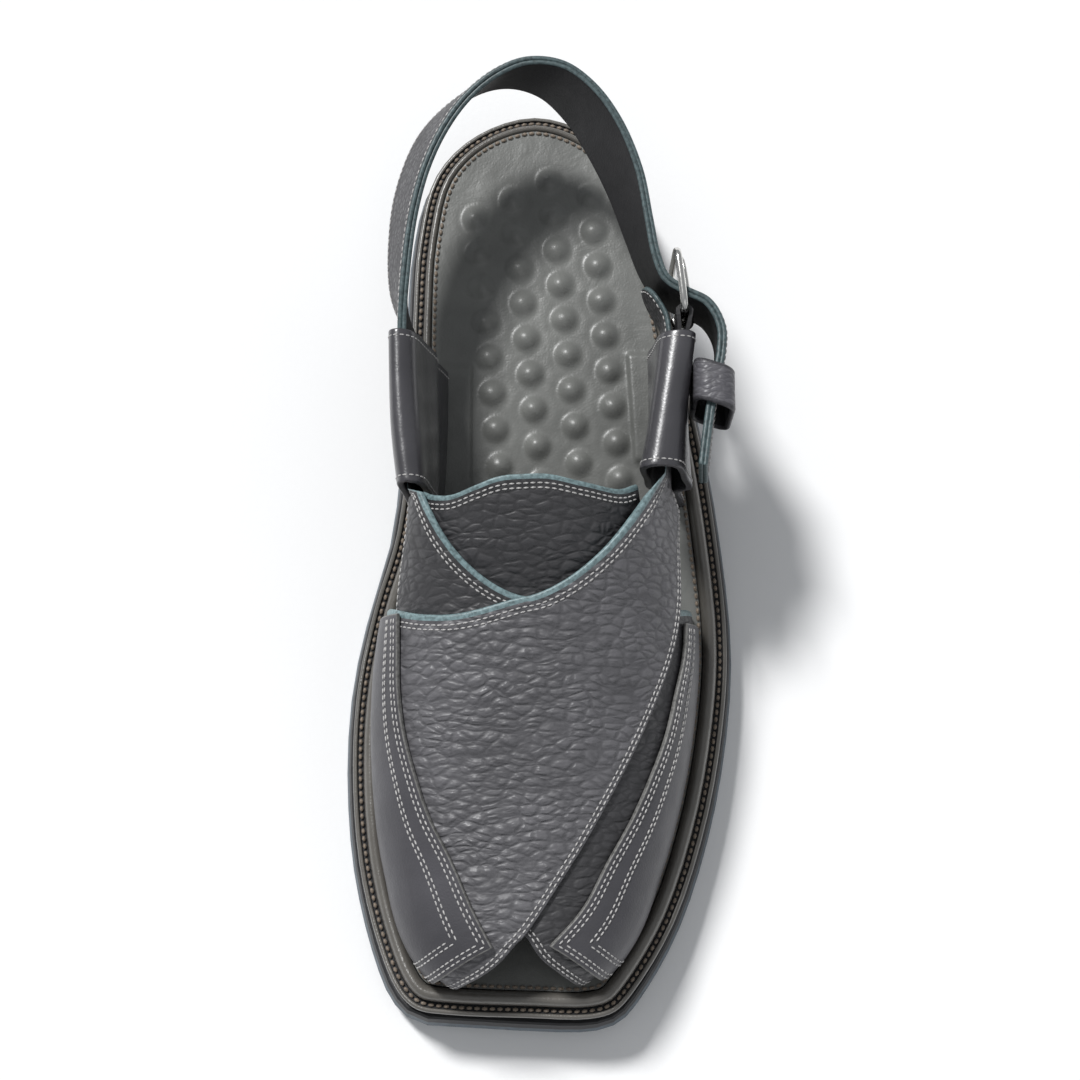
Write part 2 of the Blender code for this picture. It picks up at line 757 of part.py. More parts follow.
def loop_axis(side, y, height, shift=0.0):
    """A point on the middle plane of a loop, at a share of its height."""
    table = loop_table(side)
    top = x_at(blend(along_at(y), column(table, 1)[::-1], column(table, 2)[::-1]))
    setback = LOOP_SETBACK + LOOP_WALL + SEAM_GAP / 2
    base = side_x(side, y, rand_inset) - side * setback
    foot = underside(y) + UPPER_FOOT
    x = base + (top - base) * height + shift
    z = foot + (LOOP_TOP - foot) * height
    return np.stack(np.broadcast_arrays(x, y, z), axis=-1)


def make_wing(name, side, shade, root):
    """A wing: a band from its loop over the instep to the far edge, with its end in the loop."""
    index = 2 if side > 0 else 3
    rear = even_curve([(row[index] * side, row[1]) for row in WING_TOP], WING_ROWS)
    front = even_curve([(row[index] * side, row[1]) for row in WING_OUTER], WING_ROWS)
    t = np.linspace(0, 1, WING_COLUMNS)
    shares = t + WING_COLUMN_EASE_SHARE * t * (1 - t)
    flat = ruled(rear, front, shares)
    out = LATERAL_WING_OUT if side > 0 else MEDIAL_WING_OUT
    inner = last_point(flat[..., 0], flat[..., 1], out)
    outer = last_point(flat[..., 0], flat[..., 1], out + WING_WALL)
    mouth = float(y_at(loop_table(side)[0][1]))
    heights = WING_TAB_TOP_SHARE - WING_TAB_FALL_SHARE * shares
    tabs = []
    for y in (mouth + WING_TAB, mouth - WING_TAB_GAP):
        middle = loop_axis(side, np.full(WING_COLUMNS, y), heights)
        shift = np.array([WING_WALL / 2 * side, 0, 0])
        tabs.append((middle - shift, middle + shift))
    inner = np.concatenate([np.stack([tab[0] for tab in tabs]), inner])
    outer = np.concatenate([np.stack([tab[1] for tab in tabs]), outer])
    return leather(name, inner, outer, shade, root)


def make_upper(shade, root):
    upper = make_wing("upper", 1, shade, root)
    combine(upper, make_wing("medial wing", -1, shade, root), "UNION")
    return upper


def make_tongue(shade, root):
    rear = even_curve([(across, along) for _, along, across in TONGUE_REAR], TONGUE_ROWS)
    front = rear.copy()
    front[:, 0] = np.linspace(-TONGUE_FRONT_WIDE_SHARE, TONGUE_FRONT_WIDE_SHARE, len(rear))
    front[:, 1] = TONGUE_FRONT_SHARE
    flat = ruled(rear, front, np.linspace(0, 1, TONGUE_COLUMNS))
    inner = last_point(flat[..., 0], flat[..., 1], 0.0)
    outer = last_point(flat[..., 0], flat[..., 1], TONGUE_WALL)
    return leather("tongue", inner, outer, shade, root)


def make_panel(name, side, shade, root):
    """A smooth side panel, from its inner edge down to the feather."""
    index = 2 if side < 0 else 3
    inner_edge = even_curve([(row[index] * side, row[1]) for row in PANEL_INNER], PANEL_ROWS)
    foot = inner_edge.copy()
    foot[:, 0] = side
    foot[:, 1] = np.linspace(PANEL_FOOT_REAR_SHARE, PANEL_FOOT_TOE_SHARE, PANEL_ROWS)
    shares = np.linspace(0, 1, PANEL_COLUMNS)
    flat = ruled(inner_edge, foot, shares)
    swell = PANEL_TOE_SWELL_SHARE * 4 * shares * (1 - shares)
    flat[..., 1] += np.linspace(0, 1, PANEL_ROWS)[:, None] ** 6 * swell
    out = MEDIAL_PANEL_OUT if side < 0 else LATERAL_PANEL_OUT
    inner = last_point(flat[..., 0], flat[..., 1], out)
    outer = last_point(flat[..., 0], flat[..., 1], out + PANEL_WALL)
    return leather(name, inner, outer, shade, root)


def loop_section(slot):
    """Half of a loop's folded section: (inner half width, outer half width, height share)."""
    half = slot / 2
    seam = SEAM_GAP / 2
    wide = half + LOOP_WALL
    return (
        (seam, seam + LOOP_WALL, 0.00),
        (seam, seam + LOOP_WALL, 0.5 * LOOP_SEAM_TOP_SHARE),
        (seam, seam + LOOP_WALL, LOOP_SEAM_TOP_SHARE),
        (half, wide, LOOP_TUBE_FOOT_SHARE),
        (half, wide, 0.66),
        (half, wide, 0.86),
        (0.94 * half, 0.90 * wide, 0.93),
        (0.60 * half, 0.56 * wide, 0.98),
    )


def make_loop(name, side, shade, root):
    """A side loop: a strip folded over the strap, with both ends tucked under the footbed."""
    rows = even_curve([(y_at(along), share) for _, along, _, share in loop_table(side)], LOOP_ROWS)
    inner = []
    outer = []
    for y, share in rows:
        section = loop_section(loop_slot(side) * share)
        fold = 1 - LOOP_WALL / (LOOP_TOP - float(underside(y)) - UPPER_FOOT)
        left = [(-a, -b, height) for a, b, height in section]
        right = [(a, b, height) for a, b, height in section[::-1]]
        a, b, height = np.array(left + [(0, 0, 1.0)] + right).T
        across = np.full(len(height), y)
        inner.append(loop_axis(side, across, np.minimum(height, fold), a))
        outer.append(loop_axis(side, across, height, b))
    return leather(name, np.array(inner), np.array(outer), shade, root)


def thick_band(rows_top, rows_foot, thick):
    """The inner and outer grids of a band between two edge curves."""
    tangent = np.gradient((rows_top + rows_foot) / 2, axis=0)
    down = rows_foot - rows_top
    face = np.cross(tangent, down)
    face /= np.linalg.norm(face, axis=1)[:, None]
    middle = np.stack([rows_top, rows_foot], axis=1)
    shift = face[:, None, :] * thick / 2
    return middle - shift, middle + shift


def in_loop_rows(side, places, top_share, width, shift=0.0):
    """Top and foot points of a band that lies in a loop's tube."""
    rows = []
    for _, along in places:
        y = float(y_at(along))
        head = loop_axis(side, y, top_share, shift)
        span = LOOP_TOP - float(underside(y)) - UPPER_FOOT
        rows.append(np.hstack([head, loop_axis(side, y, top_share - width / span, shift)]))
    return rows


def make_strap(shade, root):
    """The heel strap, one band from the medial loop round the heel and through the buckle."""
    rows = in_loop_rows(-1, STRAP_IN_LOOP, LOOP_STRAP_TOP_SHARE, STRAP_WIDTH)
    for _, along, across, low_along, low_across, rise in HEEL_STRAP:
        head = np.array([x_at(across), y_at(along), STRAP_RISE * rise])
        spread = np.array([x_at(low_across) - head[0], y_at(low_along) - head[1], 0])
        drop = np.sqrt(max(STRAP_WIDTH**2 - float(spread @ spread), 1.0))
        rows.append(np.hstack([head, head + spread - (0, 0, drop)]))
    edges = even_curve(rows, STRAP_ROWS)
    inner, outer = thick_band(edges[:, :3], edges[:, 3:], STRAP_THICK)
    strap = leather("heel_strap", inner, outer, shade, root)
    ends = [prong_line(share) for share in PRONG_HOLE_RUN_SHARES]
    points, faces = sweep(ends, PRONG_HOLE / 2, WIRE_SIDES)
    combine(strap, new_object("prong hole", points, faces, shade, root), "DIFFERENCE")
    return strap


def make_guard(shade, root):
    """The guard: a short band from the lateral loop, between the buckle and the foot."""
    shift = GUARD_THICK / 2 + CLEAR * 2 - LATERAL_SLOT / 2
    rows = in_loop_rows(1, GUARD_IN_LOOP, GUARD_TOP_SHARE, GUARD_WIDTH, shift)
    top = rows[-1][2]
    for _, along, across in GUARD:
        head = np.array([x_at(across), y_at(along), top])
        rows.append(np.hstack([head, head - (0, 0, GUARD_WIDTH)]))
    edges = even_curve(rows, GUARD_ROWS)
    inner, outer = thick_band(edges[:, :3], edges[:, 3:], GUARD_THICK)
    return leather("buckle_guard", inner, outer, shade, root)


def sweep(path, radius, sides, closed=False):
    """Points and faces of a round wire along a path."""
    path = np.asarray(path, float)
    count = len(path)
    if closed:
        tangent = np.roll(path, -1, axis=0) - np.roll(path, 1, axis=0)
    else:
        tangent = np.gradient(path, axis=0)
    tangent /= np.linalg.norm(tangent, axis=1)[:, None]
    side = np.cross(tangent[0], (1.0, 0.2, 0.1))
    points = []
    for here, along in zip(path, tangent):
        side = side - along * (side @ along)
        side /= np.linalg.norm(side)
        up = np.cross(along, side)
        for k in range(sides):
            angle = 2 * np.pi * k / sides
            points.append(here + radius * (np.cos(angle) * side + np.sin(angle) * up))
    faces = loop_walls(count, sides, around=closed)
    if not closed:
        faces.append(tuple(reversed(range(sides))))
        faces.append(tuple((count - 1) * sides + k for k in range(sides)))
    return points, faces


STRAP_TOP_AT_BUCKLE = STRAP_RISE * HEEL_STRAP[-1][5]
BUCKLE_MIDDLE = STRAP_TOP_AT_BUCKLE - STRAP_WIDTH / 2
BUCKLE_HALF = (STRAP_WIDTH + BUCKLE_WIRE) / 2 + BUCKLE_SLACK
ANCHOR_OUTER = LATERAL_SLOT / 2 - CLEAR - ANCHOR_THICK / 2
FOLD_RADIUS = BUCKLE_WIRE / 2 + CLEAR + ANCHOR_THICK / 2


def buckle_bars():
    """The front and the rear bar of the buckle, at the middle of its height."""
    mouth = float(y_at(LATERAL_LOOP[-1][1]))
    y = mouth + FOLD_RADIUS + BAR_SETBACK
    x = float(loop_axis(1, mouth, BUCKLE_LOOP_SHARE)[0]) + BAR_SHIFT
    front = np.array([x, y, BUCKLE_MIDDLE])
    rear = np.array([x_at(BUCKLE_REAR_SHARE), y, BUCKLE_MIDDLE])
    rear[1] += np.sqrt(BUCKLE_LENGTH**2 - (rear[0] - front[0]) ** 2)
    return front, rear


def upright(middle):
    """The top and foot points of an upright band of the anchor's width."""
    half = np.array([0, 0, ANCHOR_WIDTH / 2])
    return np.hstack([middle + half, middle - half])


def make_anchor(shade, root):
    """The anchor: a strip folded round the buckle's front bar, with both ends in the loop."""
    bar, _ = buckle_bars()
    rows = []
    for sign in (-1, 1):
        shift = ANCHOR_OUTER - (ANCHOR_GAP if sign < 0 else 0.0)
        run = in_loop_rows(1, ANCHOR_IN_LOOP, ANCHOR_TOP_SHARE, ANCHOR_WIDTH, shift)
        for ahead, aside in ((-0.5, 0.85), (0.45, 0.9)):
            run.append(upright(bar + FOLD_RADIUS * np.array([sign * aside, ahead, 0])))
        rows += run if sign < 0 else run[::-1]
        if sign < 0:
            rows.append(upright(bar + (0, FOLD_RADIUS, 0)))
    edges = even_curve(rows, ANCHOR_ROWS)
    inner, outer = thick_band(edges[:, :3], edges[:, 3:], ANCHOR_THICK)
    anchor = leather("buckle_anchor", inner, outer, shade, root)
    reach = np.array([0, FOLD_RADIUS * 3, 0])
    slot = PRONG_WIRE / 2 + 3 * CLEAR
    start = bar - (0, PRONG_EYE + PRONG_WIRE / 2 + 2 * CLEAR, 0)
    points, faces = slab(start, bar + reach, 2 * FOLD_RADIUS + ANCHOR_THICK, slot)
    combine(anchor, new_object("prong slot", points, faces, shade, root), "DIFFERENCE")
    return anchor


def slab(start, stop, half_width, half_height):
    """Points and faces of a box from start to stop along Y."""
    points = []
    for y in (start[1], stop[1]):
        for x, z in ((-1, -1), (1, -1), (1, 1), (-1, 1)):
            points.append((start[0] + x * half_width, y, start[2] + z * half_height))
    return points, loop_walls(2, 4) + [(3, 2, 1, 0), (4, 5, 6, 7)]


def make_buckle(shade, root):
    """The buckle's frame: a rounded rectangle of wire that stands beside the strap."""
    front, rear = buckle_bars()
    length = np.linalg.norm(rear - front)
    ahead = (rear - front) / length
    up = np.array([0, 0, 1.0])
    near, far = BUCKLE_ROUNDING, length - BUCKLE_ROUNDING
    high = BUCKLE_HALF - BUCKLE_ROUNDING
    corners = (
        (near, -high, 180),
        (far, -high, 270),
        (far, high, 0),
        (near, high, 90),
    )
    path = []
    for centre, height, start in corners:
        for angle in np.radians(np.linspace(start, start + 90, 5)):
            reach = centre + BUCKLE_ROUNDING * np.cos(angle)
            rise = height + BUCKLE_ROUNDING * np.sin(angle)
            path.append(front + ahead * reach + up * rise)
    points, faces = sweep(path, BUCKLE_WIRE / 2, WIRE_SIDES, closed=True)
    return new_object("buckle_frame", points, faces, shade, root)


PRONG_EYE = BUCKLE_WIRE / 2 + CLEAR + PRONG_WIRE / 2


def prong_line(share):
    """A point on the prong's shaft, which runs outside the frame from its front to its rear bar."""
    front, rear = buckle_bars()
    ahead = (rear - front) / np.linalg.norm(rear - front)
    out = np.array([ahead[1], -ahead[0], 0])
    return front + (rear - front) * share + out * PRONG_EYE


def prong_path():
    """The prong: an eye round the front bar, then a shaft that rests outside the rear bar."""
    front, rear = buckle_bars()
    ahead = (rear - front) / np.linalg.norm(rear - front)
    out = np.array([ahead[1], -ahead[0], 0])
    path = []
    for angle in np.radians(np.linspace(60, 270, 9)):
        path.append(front + PRONG_EYE * (np.cos(angle) * ahead - np.sin(angle) * out))
    for share in (0.25, 0.50, 0.75, 1.0):
        path.append(prong_line(share))
    path.append(prong_line(1.0) + ahead * (BUCKLE_WIRE / 2 + PRONG_TIP))
    return path


def make_prong(shade, root):
    points, faces = sweep(prong_path(), PRONG_WIRE / 2, WIRE_SIDES)
    return new_object("buckle_prong", points, faces, shade, root)


def make_keeper(shade, root):
    """The keeper: a flat ring of leather beside the loop that holds the strap's free side."""
    rows = []
    middle = float(y_at(KEEPER_PLACE_SHARE))
    free = np.array(
        [(y_at(row[1]), x_at(row[2]), x_at(row[4])) for row in HEEL_STRAP[-6:]][::-1]
    )
    for step in np.linspace(-0.5, 0.5, 4):
        y = middle + step * KEEPER_LENGTH
        left = max(float(loop_axis(1, y, share)[0]) for share in KEEPER_LOOP_SHARES)
        left += LATERAL_SLOT / 2 + LOOP_WALL + 2 * CLEAR
        right = max(float(np.interp(y, free[:, 0], free[:, k])) for k in (1, 2))
        right += STRAP_THICK / 2 + 3 * CLEAR + KEEPER_WALL
        low = STRAP_TOP_AT_BUCKLE - STRAP_WIDTH - 3 * CLEAR - KEEPER_WALL
        high = STRAP_TOP_AT_BUCKLE + 3 * CLEAR + KEEPER_WALL
        rows.append((y, left, right, low, high))
    loops = []
    for y, left, right, low, high in rows:
        loops.append(rounded_box(y, left, right, low, high, KEEPER_ROUNDING))
    wall = KEEPER_WALL
    inner = KEEPER_ROUNDING - wall
    for y, left, right, low, high in rows[::-1]:
        loops.append(rounded_box(y, left + wall, right - wall, low + wall, high - wall, inner))
    count = len(loops[0])
    faces = loop_walls(len(loops), count, around=True)
    return new_object("keeper", np.vstack(loops), faces, shade, root)


def rounded_box(y, left, right, low, high, rounding):
    """A ring of points at y round a box with rounded corners; its right side leans forwards."""
    points = []
    for x, z, start in (
        (right - rounding, high - rounding, 0),
        (left + rounding, high - rounding, 90),
        (left + rounding, low + rounding, 180),
        (right - rounding, low + rounding, 270),
    ):
        for angle in np.radians((start, start + 45, start + 90)):
            at = x + rounding * np.cos(angle)
            shift = KEEPER_SKEW * (at - left) / (right - left)
            points.append((at, y - shift, z + rounding * np.sin(angle)))
    return np.array(points)


def main():
    for thing in list(bpy.data.objects):
        bpy.data.objects.remove(thing, do_unlink=True)
    root = bpy.data.objects.new("chappal", None)
    bpy.context.scene.collection.objects.link(root)
    rubber = material("black rubber", (0.018, 0.018, 0.020), 0.62)
    crepe = material("blue grey outsole", (0.16, 0.20, 0.23), 0.55)
    welting = material("taupe welt", (0.15, 0.13, 0.115), 0.50)
    bed = material("grey footbed leather", (0.13, 0.135, 0.13), 0.34)
    pebbled = material("pebbled dark grey leather", (0.070, 0.068, 0.070), 0.50)
    smooth = material("smooth dark grey leather", (0.058, 0.057, 0.060), 0.38)
    steel = material("polished nickel", (0.72, 0.72, 0.72), 0.16, 1.0)
    make_heel(rubber, root)
    make_outsole(crepe, root)
    make_midsole(rubber, root)
    make_welt(welting, root)
    make_rand(welting, root)
    make_footbed(bed, root)
    make_tongue(pebbled, root)
    make_upper(pebbled, root)
    make_panel("medial_panel", -1, smooth, root)
    make_panel("lateral_panel", 1, smooth, root)
    make_loop("medial_loop", -1, smooth, root)
    make_loop("lateral_loop", 1, smooth, root)
    make_strap(smooth, root)
    make_guard(smooth, root)
    make_anchor(smooth, root)
    make_buckle(steel, root)
    make_prong(steel, root)
    make_keeper(smooth, root)


main()
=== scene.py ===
"""A peshawari chappal for the left foot, dressed in leather, thread, rubber and nickel.

The skins are laid over the same last and sole outline as the solids, as fine grids that get
their thickness, their rounded edges and their rows of stitches here.
Lengths are in millimetres until a mesh is made.
"""

import math

import bmesh
import bpy
import numpy as np
from mathutils import Matrix, Vector


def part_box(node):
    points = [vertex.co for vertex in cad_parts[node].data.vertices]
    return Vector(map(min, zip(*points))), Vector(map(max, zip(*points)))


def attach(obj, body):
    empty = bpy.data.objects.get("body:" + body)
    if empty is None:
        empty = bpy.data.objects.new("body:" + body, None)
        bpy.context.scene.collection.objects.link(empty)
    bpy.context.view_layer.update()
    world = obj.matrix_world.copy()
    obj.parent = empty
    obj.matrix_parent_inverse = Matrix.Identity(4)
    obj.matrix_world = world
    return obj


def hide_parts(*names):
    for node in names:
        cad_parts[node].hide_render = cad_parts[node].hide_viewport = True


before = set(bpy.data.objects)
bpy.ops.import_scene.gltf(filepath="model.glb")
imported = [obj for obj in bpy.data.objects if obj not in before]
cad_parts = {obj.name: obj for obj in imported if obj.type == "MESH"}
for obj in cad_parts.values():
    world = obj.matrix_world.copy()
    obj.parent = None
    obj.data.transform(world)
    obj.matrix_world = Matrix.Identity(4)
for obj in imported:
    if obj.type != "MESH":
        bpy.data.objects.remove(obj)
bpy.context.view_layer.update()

bl_info = {
    "name": "Peshawari chappal",
    "version": (1, 0, 0),
    "blender": (4, 5, 0),
    "location": "3D View > Sidebar > Chappal",
    "description": "Builds the leather, stitching and fittings of a peshawari chappal",
    "category": "Add Mesh",
}

MM = 0.001


def linear(colour):
    """An sRGB hex colour as linear red, green, blue and alpha."""
    values = [int(colour[i : i + 2], 16) / 255 for i in (1, 3, 5)]
    return [v / 12.92 if v <= 0.04045 else ((v + 0.055) / 1.055) ** 2.4 for v in values] + [1.0]


def colour_choice(name, description, colour):
    return bpy.props.FloatVectorProperty(
        name=name, description=description, default=linear(colour)[:3], size=3,
        subtype="COLOR", min=0.0, max=1.0,
    )


def length_choice(name, description, millimetres):
    return bpy.props.FloatProperty(
        name=name, description=description, default=millimetres * MM, min=0.0,
        unit="LENGTH", precision=5,
    )


class ChappalColours(bpy.types.PropertyGroup):
    pebbled: colour_choice("Pebbled leather", "Colour of the wings and the tongue", "#605f62")
    smooth: colour_choice("Smooth leather", "Colour of the side panels and the loops", "#47464a")
    lining: colour_choice("Lining", "Colour of the upper's inner side", "#1d1d20")
    edge: colour_choice("Edge paint", "Colour of the painted leather edges", "#74898c")
    thread: colour_choice("Thread", "Colour of the upper's thread", "#b4b2b0")
    welt: colour_choice("Welt", "Colour of the welt and the rand", "#5e5b56")
    welt_thread: colour_choice("Welt thread", "Colour of the waxed sole thread", "#776a5c")
    footbed: colour_choice("Footbed", "Colour of the footbed", "#6c6d6a")
    outsole: colour_choice("Outsole", "Colour of the outsole's edge", "#58626a")
    rubber: colour_choice("Black rubber", "Colour of the midsole and the heel", "#1b1b1d")
    nickel: colour_choice("Nickel", "Colour of the buckle", "#d9d8d4")
    floor: colour_choice("Floor", "Colour of the studio floor", "#f4f4f4")


class ChappalSizes(bpy.types.PropertyGroup):
    stitch_pitch: length_choice("Stitch pitch", "Length of one stitch with its gap", 2.0)
    thread_width: length_choice("Thread width", "Width of the upper's thread", 0.56)
    welt_pitch: length_choice("Welt stitch pitch", "Length of one sole stitch", 2.3)
    welt_thread_width: length_choice("Welt thread width", "Width of the sole thread", 1.25)
    knob_height: length_choice("Knob height", "Height of the footbed's knobs", 2.1)
    pebble_size: length_choice("Pebble size", "Width of one pebble of the grain", 4.8)


def sizes():
    return bpy.context.scene.chappal_sizes


def colours():
    return bpy.context.scene.chappal_colours


# Sizes of the sole and the last, the same as the solids'
SOLE_LENGTH = 285.0
BALL_WIDTH = 115.5
HEEL_HEIGHT = 12.0
TOE_SPRING = 6.0
TOE_SPRING_POWER = 1.8
RAND_SETBACK = 3.3
RAND_WIDTH = 4.6
RAND_HEIGHT = 4.3
HEEL_RAND_SHARE = 0.52
RAND_NARROW = (0.20, 0.50)
WELT_FOOT = 12.5
WELT_TOP = 16.0
FOOTBED_TOP = 18.3
UPPER_FOOT = 18.6
INSTEP_HEIGHT = 62.0
OUTLINE_STEPS = 4
WING_WALL = 2.2
WING_LAP = 0.9
TONGUE_WALL = 1.8
PANEL_WALL = 1.3
SIDE_BULGE = 0.05
TOE_BULGE = 2.4
CLEAR = 0.3
LAYER_CLEAR = 0.45
CAP_ALONG = 0.86
CAP_POWER = 3.0
FEATHER_SLOPE_RUN = 12.0
LOOP_WALL = 2.0
LOOP_TOP = 76.0
SEAM_GAP = 0.5
LOOP_SETBACK = 1.0
STRAP_THICK = 2.8
STRAP_WIDTH = 22.0
STRAP_RISE = 79.0
GUARD_THICK = 1.6
GUARD_WIDTH = 20.0
GUARD_TOP = 0.90
GUARD_IN_LOOP = (0.360, 0.312)
GUARD = ((0.284, 0.324), (0.264, 0.299), (0.244, 0.268))
KEEPER_SKEW = 3.5
KEEPER_WALL = 1.6
KEEPER_CORNER = 4.4
WIRE_ROUNDING = 2

# The welt's outline from the heel down the medial side and back: along, across
OUTLINE = (
    (0.000, -0.013), (0.022, -0.175), (0.070, -0.285), (0.150, -0.332), (0.240, -0.344),
    (0.360, -0.352), (0.475, -0.382), (0.560, -0.444), (0.640, -0.484), (0.730, -0.495),
    (0.835, -0.474), (0.920, -0.422), (0.972, -0.366), (0.990, -0.318), (0.9955, -0.240),
    (0.999, -0.030), (1.000, 0.130), (0.9925, 0.196), (0.973, 0.243), (0.898, 0.355),
    (0.780, 0.450), (0.660, 0.499), (0.585, 0.506), (0.500, 0.485), (0.400, 0.446),
    (0.285, 0.386), (0.160, 0.322), (0.070, 0.255), (0.020, 0.140),
)
# The outsole's underside: along, share of the heel's height
UNDERSIDE = (
    (0.00, 1.00), (0.20, 1.00), (0.33, 0.94), (0.43, 0.66), (0.52, 0.26), (0.60, 0.00),
    (0.83, 0.00),
)
# Sections of the last: along, crown, squareness, lean
SECTIONS = (
    (0.25, 1.08, 4.2, -0.14), (0.38, 1.06, 4.0, -0.19), (0.45, 1.00, 3.4, -0.22),
    (0.50, 0.93, 3.0, -0.21), (0.58, 0.78, 2.7, -0.18), (0.70, 0.60, 2.5, -0.15),
    (0.82, 0.44, 2.5, -0.12), (0.92, 0.34, 2.5, -0.08), (1.00, 0.28, 2.5, -0.05),
)
# Wing edges: along, across on the lateral wing, across on the medial wing
WING_TOP = (
    (0.479, 0.570, 0.480), (0.500, 0.460, 0.390), (0.540, 0.265, 0.225), (0.572, 0.090, 0.070),
    (0.590, -0.040, -0.050), (0.600, -0.200, -0.200), (0.598, -0.380, -0.380),
    (0.585, -0.640, -0.640), (0.566, -1.000, -1.000),
)
WING_OUTER = (
    (0.475, 0.880, 0.750), (0.520, 0.780, 0.690), (0.605, 0.665, 0.640), (0.700, 0.500, 0.500),
    (0.790, 0.325, 0.325), (0.845, 0.210, 0.210), (0.920, 0.015, -0.025),
    (0.942, -0.055, -0.100), (0.963, -0.230, -0.300), (0.976, -0.720, -0.720),
    (0.974, -1.000, -1.000),
)
# The tongue's rear edge and its front: along, across
TONGUE_REAR = (
    (0.474, -0.560), (0.4825, -0.420), (0.486, -0.260), (0.479, -0.120), (0.469, 0.020),
    (0.474, 0.220), (0.4755, 0.450), (0.465, 0.600),
)
TONGUE_FRONT = (0.668, 0.600)
# The panels' inner edge: along, across on the medial panel, across on the lateral panel
PANEL_INNER = (
    (0.594, 0.530, 0.735), (0.628, 0.510, 0.710), (0.668, 0.500, 0.660), (0.708, 0.475, 0.620),
    (0.760, 0.412, 0.540), (0.802, 0.350, 0.470), (0.840, 0.270, 0.390), (0.886, 0.190, 0.300),
    (0.928, 0.100, 0.142),
)
PANEL_FOOT = (0.585, 0.958)
PANEL_TOE_SWELL = 0.012
# A side loop, front to rear: along, top across, tube width (share of its slot)
MEDIAL_LOOP = (
    (0.468, -0.336, 0.90), (0.430, -0.348, 1.00), (0.400, -0.356, 1.00), (0.350, -0.364, 0.90),
    (0.304, -0.368, 0.86),
)
LATERAL_LOOP = (
    (0.450, 0.298, 1.30), (0.420, 0.310, 1.12), (0.377, 0.326, 1.00), (0.340, 0.342, 1.00),
    (0.304, 0.356, 1.00),
)
LOOP_SLOT = {-1: 5.2, 1: 7.2}
LOOP_SEAM_TOP = 0.34
LOOP_TUBE_FOOT = 0.43
LOOP_STRAP_TOP = 0.935
WING_TAB = (5.0, 1.0)
WING_TAB_HEIGHT = (0.90, 0.34)
STRAP_IN_LOOP = (0.425, 0.365, 0.312)
# The heel strap: top along and across, lower edge along and across, rise
HEEL_STRAP = (
    (0.252, -0.352, 0.248, -0.384, 0.955), (0.180, -0.330, 0.174, -0.392, 0.980),
    (0.128, -0.296, 0.122, -0.370, 1.000), (0.084, -0.246, 0.074, -0.322, 1.010),
    (0.050, -0.186, 0.040, -0.252, 1.015), (0.025, -0.112, 0.016, -0.168, 1.020),
    (0.012, -0.035, 0.009, -0.085, 1.020), (0.015, 0.056, 0.020, 0.000, 1.015),
    (0.038, 0.136, 0.050, 0.074, 1.005), (0.078, 0.206, 0.094, 0.140, 0.990),
    (0.128, 0.255, 0.136, 0.192, 0.970), (0.180, 0.279, 0.182, 0.236, 0.955),
    (0.220, 0.297, 0.222, 0.276, 0.945), (0.245, 0.322, 0.247, 0.318, 0.940),
    (0.259, 0.372, 0.260, 0.374, 0.940), (0.272, 0.430, 0.273, 0.434, 0.940),
    (0.298, 0.462, 0.298, 0.467, 0.940), (0.328, 0.460, 0.328, 0.466, 0.940),
    (0.362, 0.442, 0.362, 0.450, 0.940), (0.400, 0.426, 0.400, 0.436, 0.940),
    (0.448, 0.410, 0.448, 0.424, 0.940),
)
KNOB_DIAMETER = 7.0
KNOB_PITCH = 11.5
KNOB_COLUMN_GAP = 12.4
KNOB_SLANT = 0.10
KNOB_FIELD = (0.075, 0.535)
KNOB_COLUMN_SHIFT = 0.21
KNOB_ROW_SHIFT = 0.85
KNOB_ROW_SLANT = 0.05
KNOB_MARGIN = 9.45
KNOB_FILLET = 0.9
MOAT_DEPTH = 0.12
PAD_HEIGHT = 1.2
FLAP_HEIGHT = 1.3
FOOTBED_SKIN = 1.9


def smooth_curve(points, steps, closed=False):
    """Points on a centripetal Catmull-Rom curve through the given points."""
    points = np.array(points, float)
    if closed:
        around = np.vstack([points[-1:], points, points[:2]])
        spans = len(points)
    else:
        around = np.vstack([2 * points[0] - points[1], points, 2 * points[-1] - points[-2]])
        spans = len(points) - 1
    curve = []
    for i in range(spans):
        a, b, c, d = around[i : i + 4]
        tb = np.linalg.norm(b - a) ** 0.5
        tc = tb + np.linalg.norm(c - b) ** 0.5
        td = tc + np.linalg.norm(d - c) ** 0.5
        for step in range(steps):
            t = tb + (tc - tb) * step / steps
            ab = ((tb - t) * a + t * b) / tb
            bc = ((tc - t) * b + (t - tb) * c) / (tc - tb)
            cd = ((td - t) * c + (t - tc) * d) / (td - tc)
            left = ((tc - t) * ab + t * bc) / tc
            right = ((td - t) * bc + (t - tb) * cd) / (td - tb)
            curve.append(((tc - t) * left + (t - tb) * right) / (tc - tb))
    if not closed:
        curve.append(points[-1])
    return np.array(curve)


def run_of(points):
    """The length along a line of points, at each of them."""
    steps = np.linalg.norm(np.diff(points, axis=0), axis=1)
    return np.concatenate([[0], np.cumsum(steps)])


def points_at(places, run, points):
    """The points of a line at places along its run."""
    return np.stack([np.interp(places, run, axis) for axis in points.T], axis=-1)


def even_points(curve, count, closed=False):
    """The curve cut into points at even steps of its length."""
    if closed:
        curve = np.vstack([curve, curve[:1]])
    run = run_of(curve)
    return points_at(np.linspace(0, run[-1], count), run, curve)


def even_curve(points, count):
    return even_points(smooth_curve(points, 12), count)


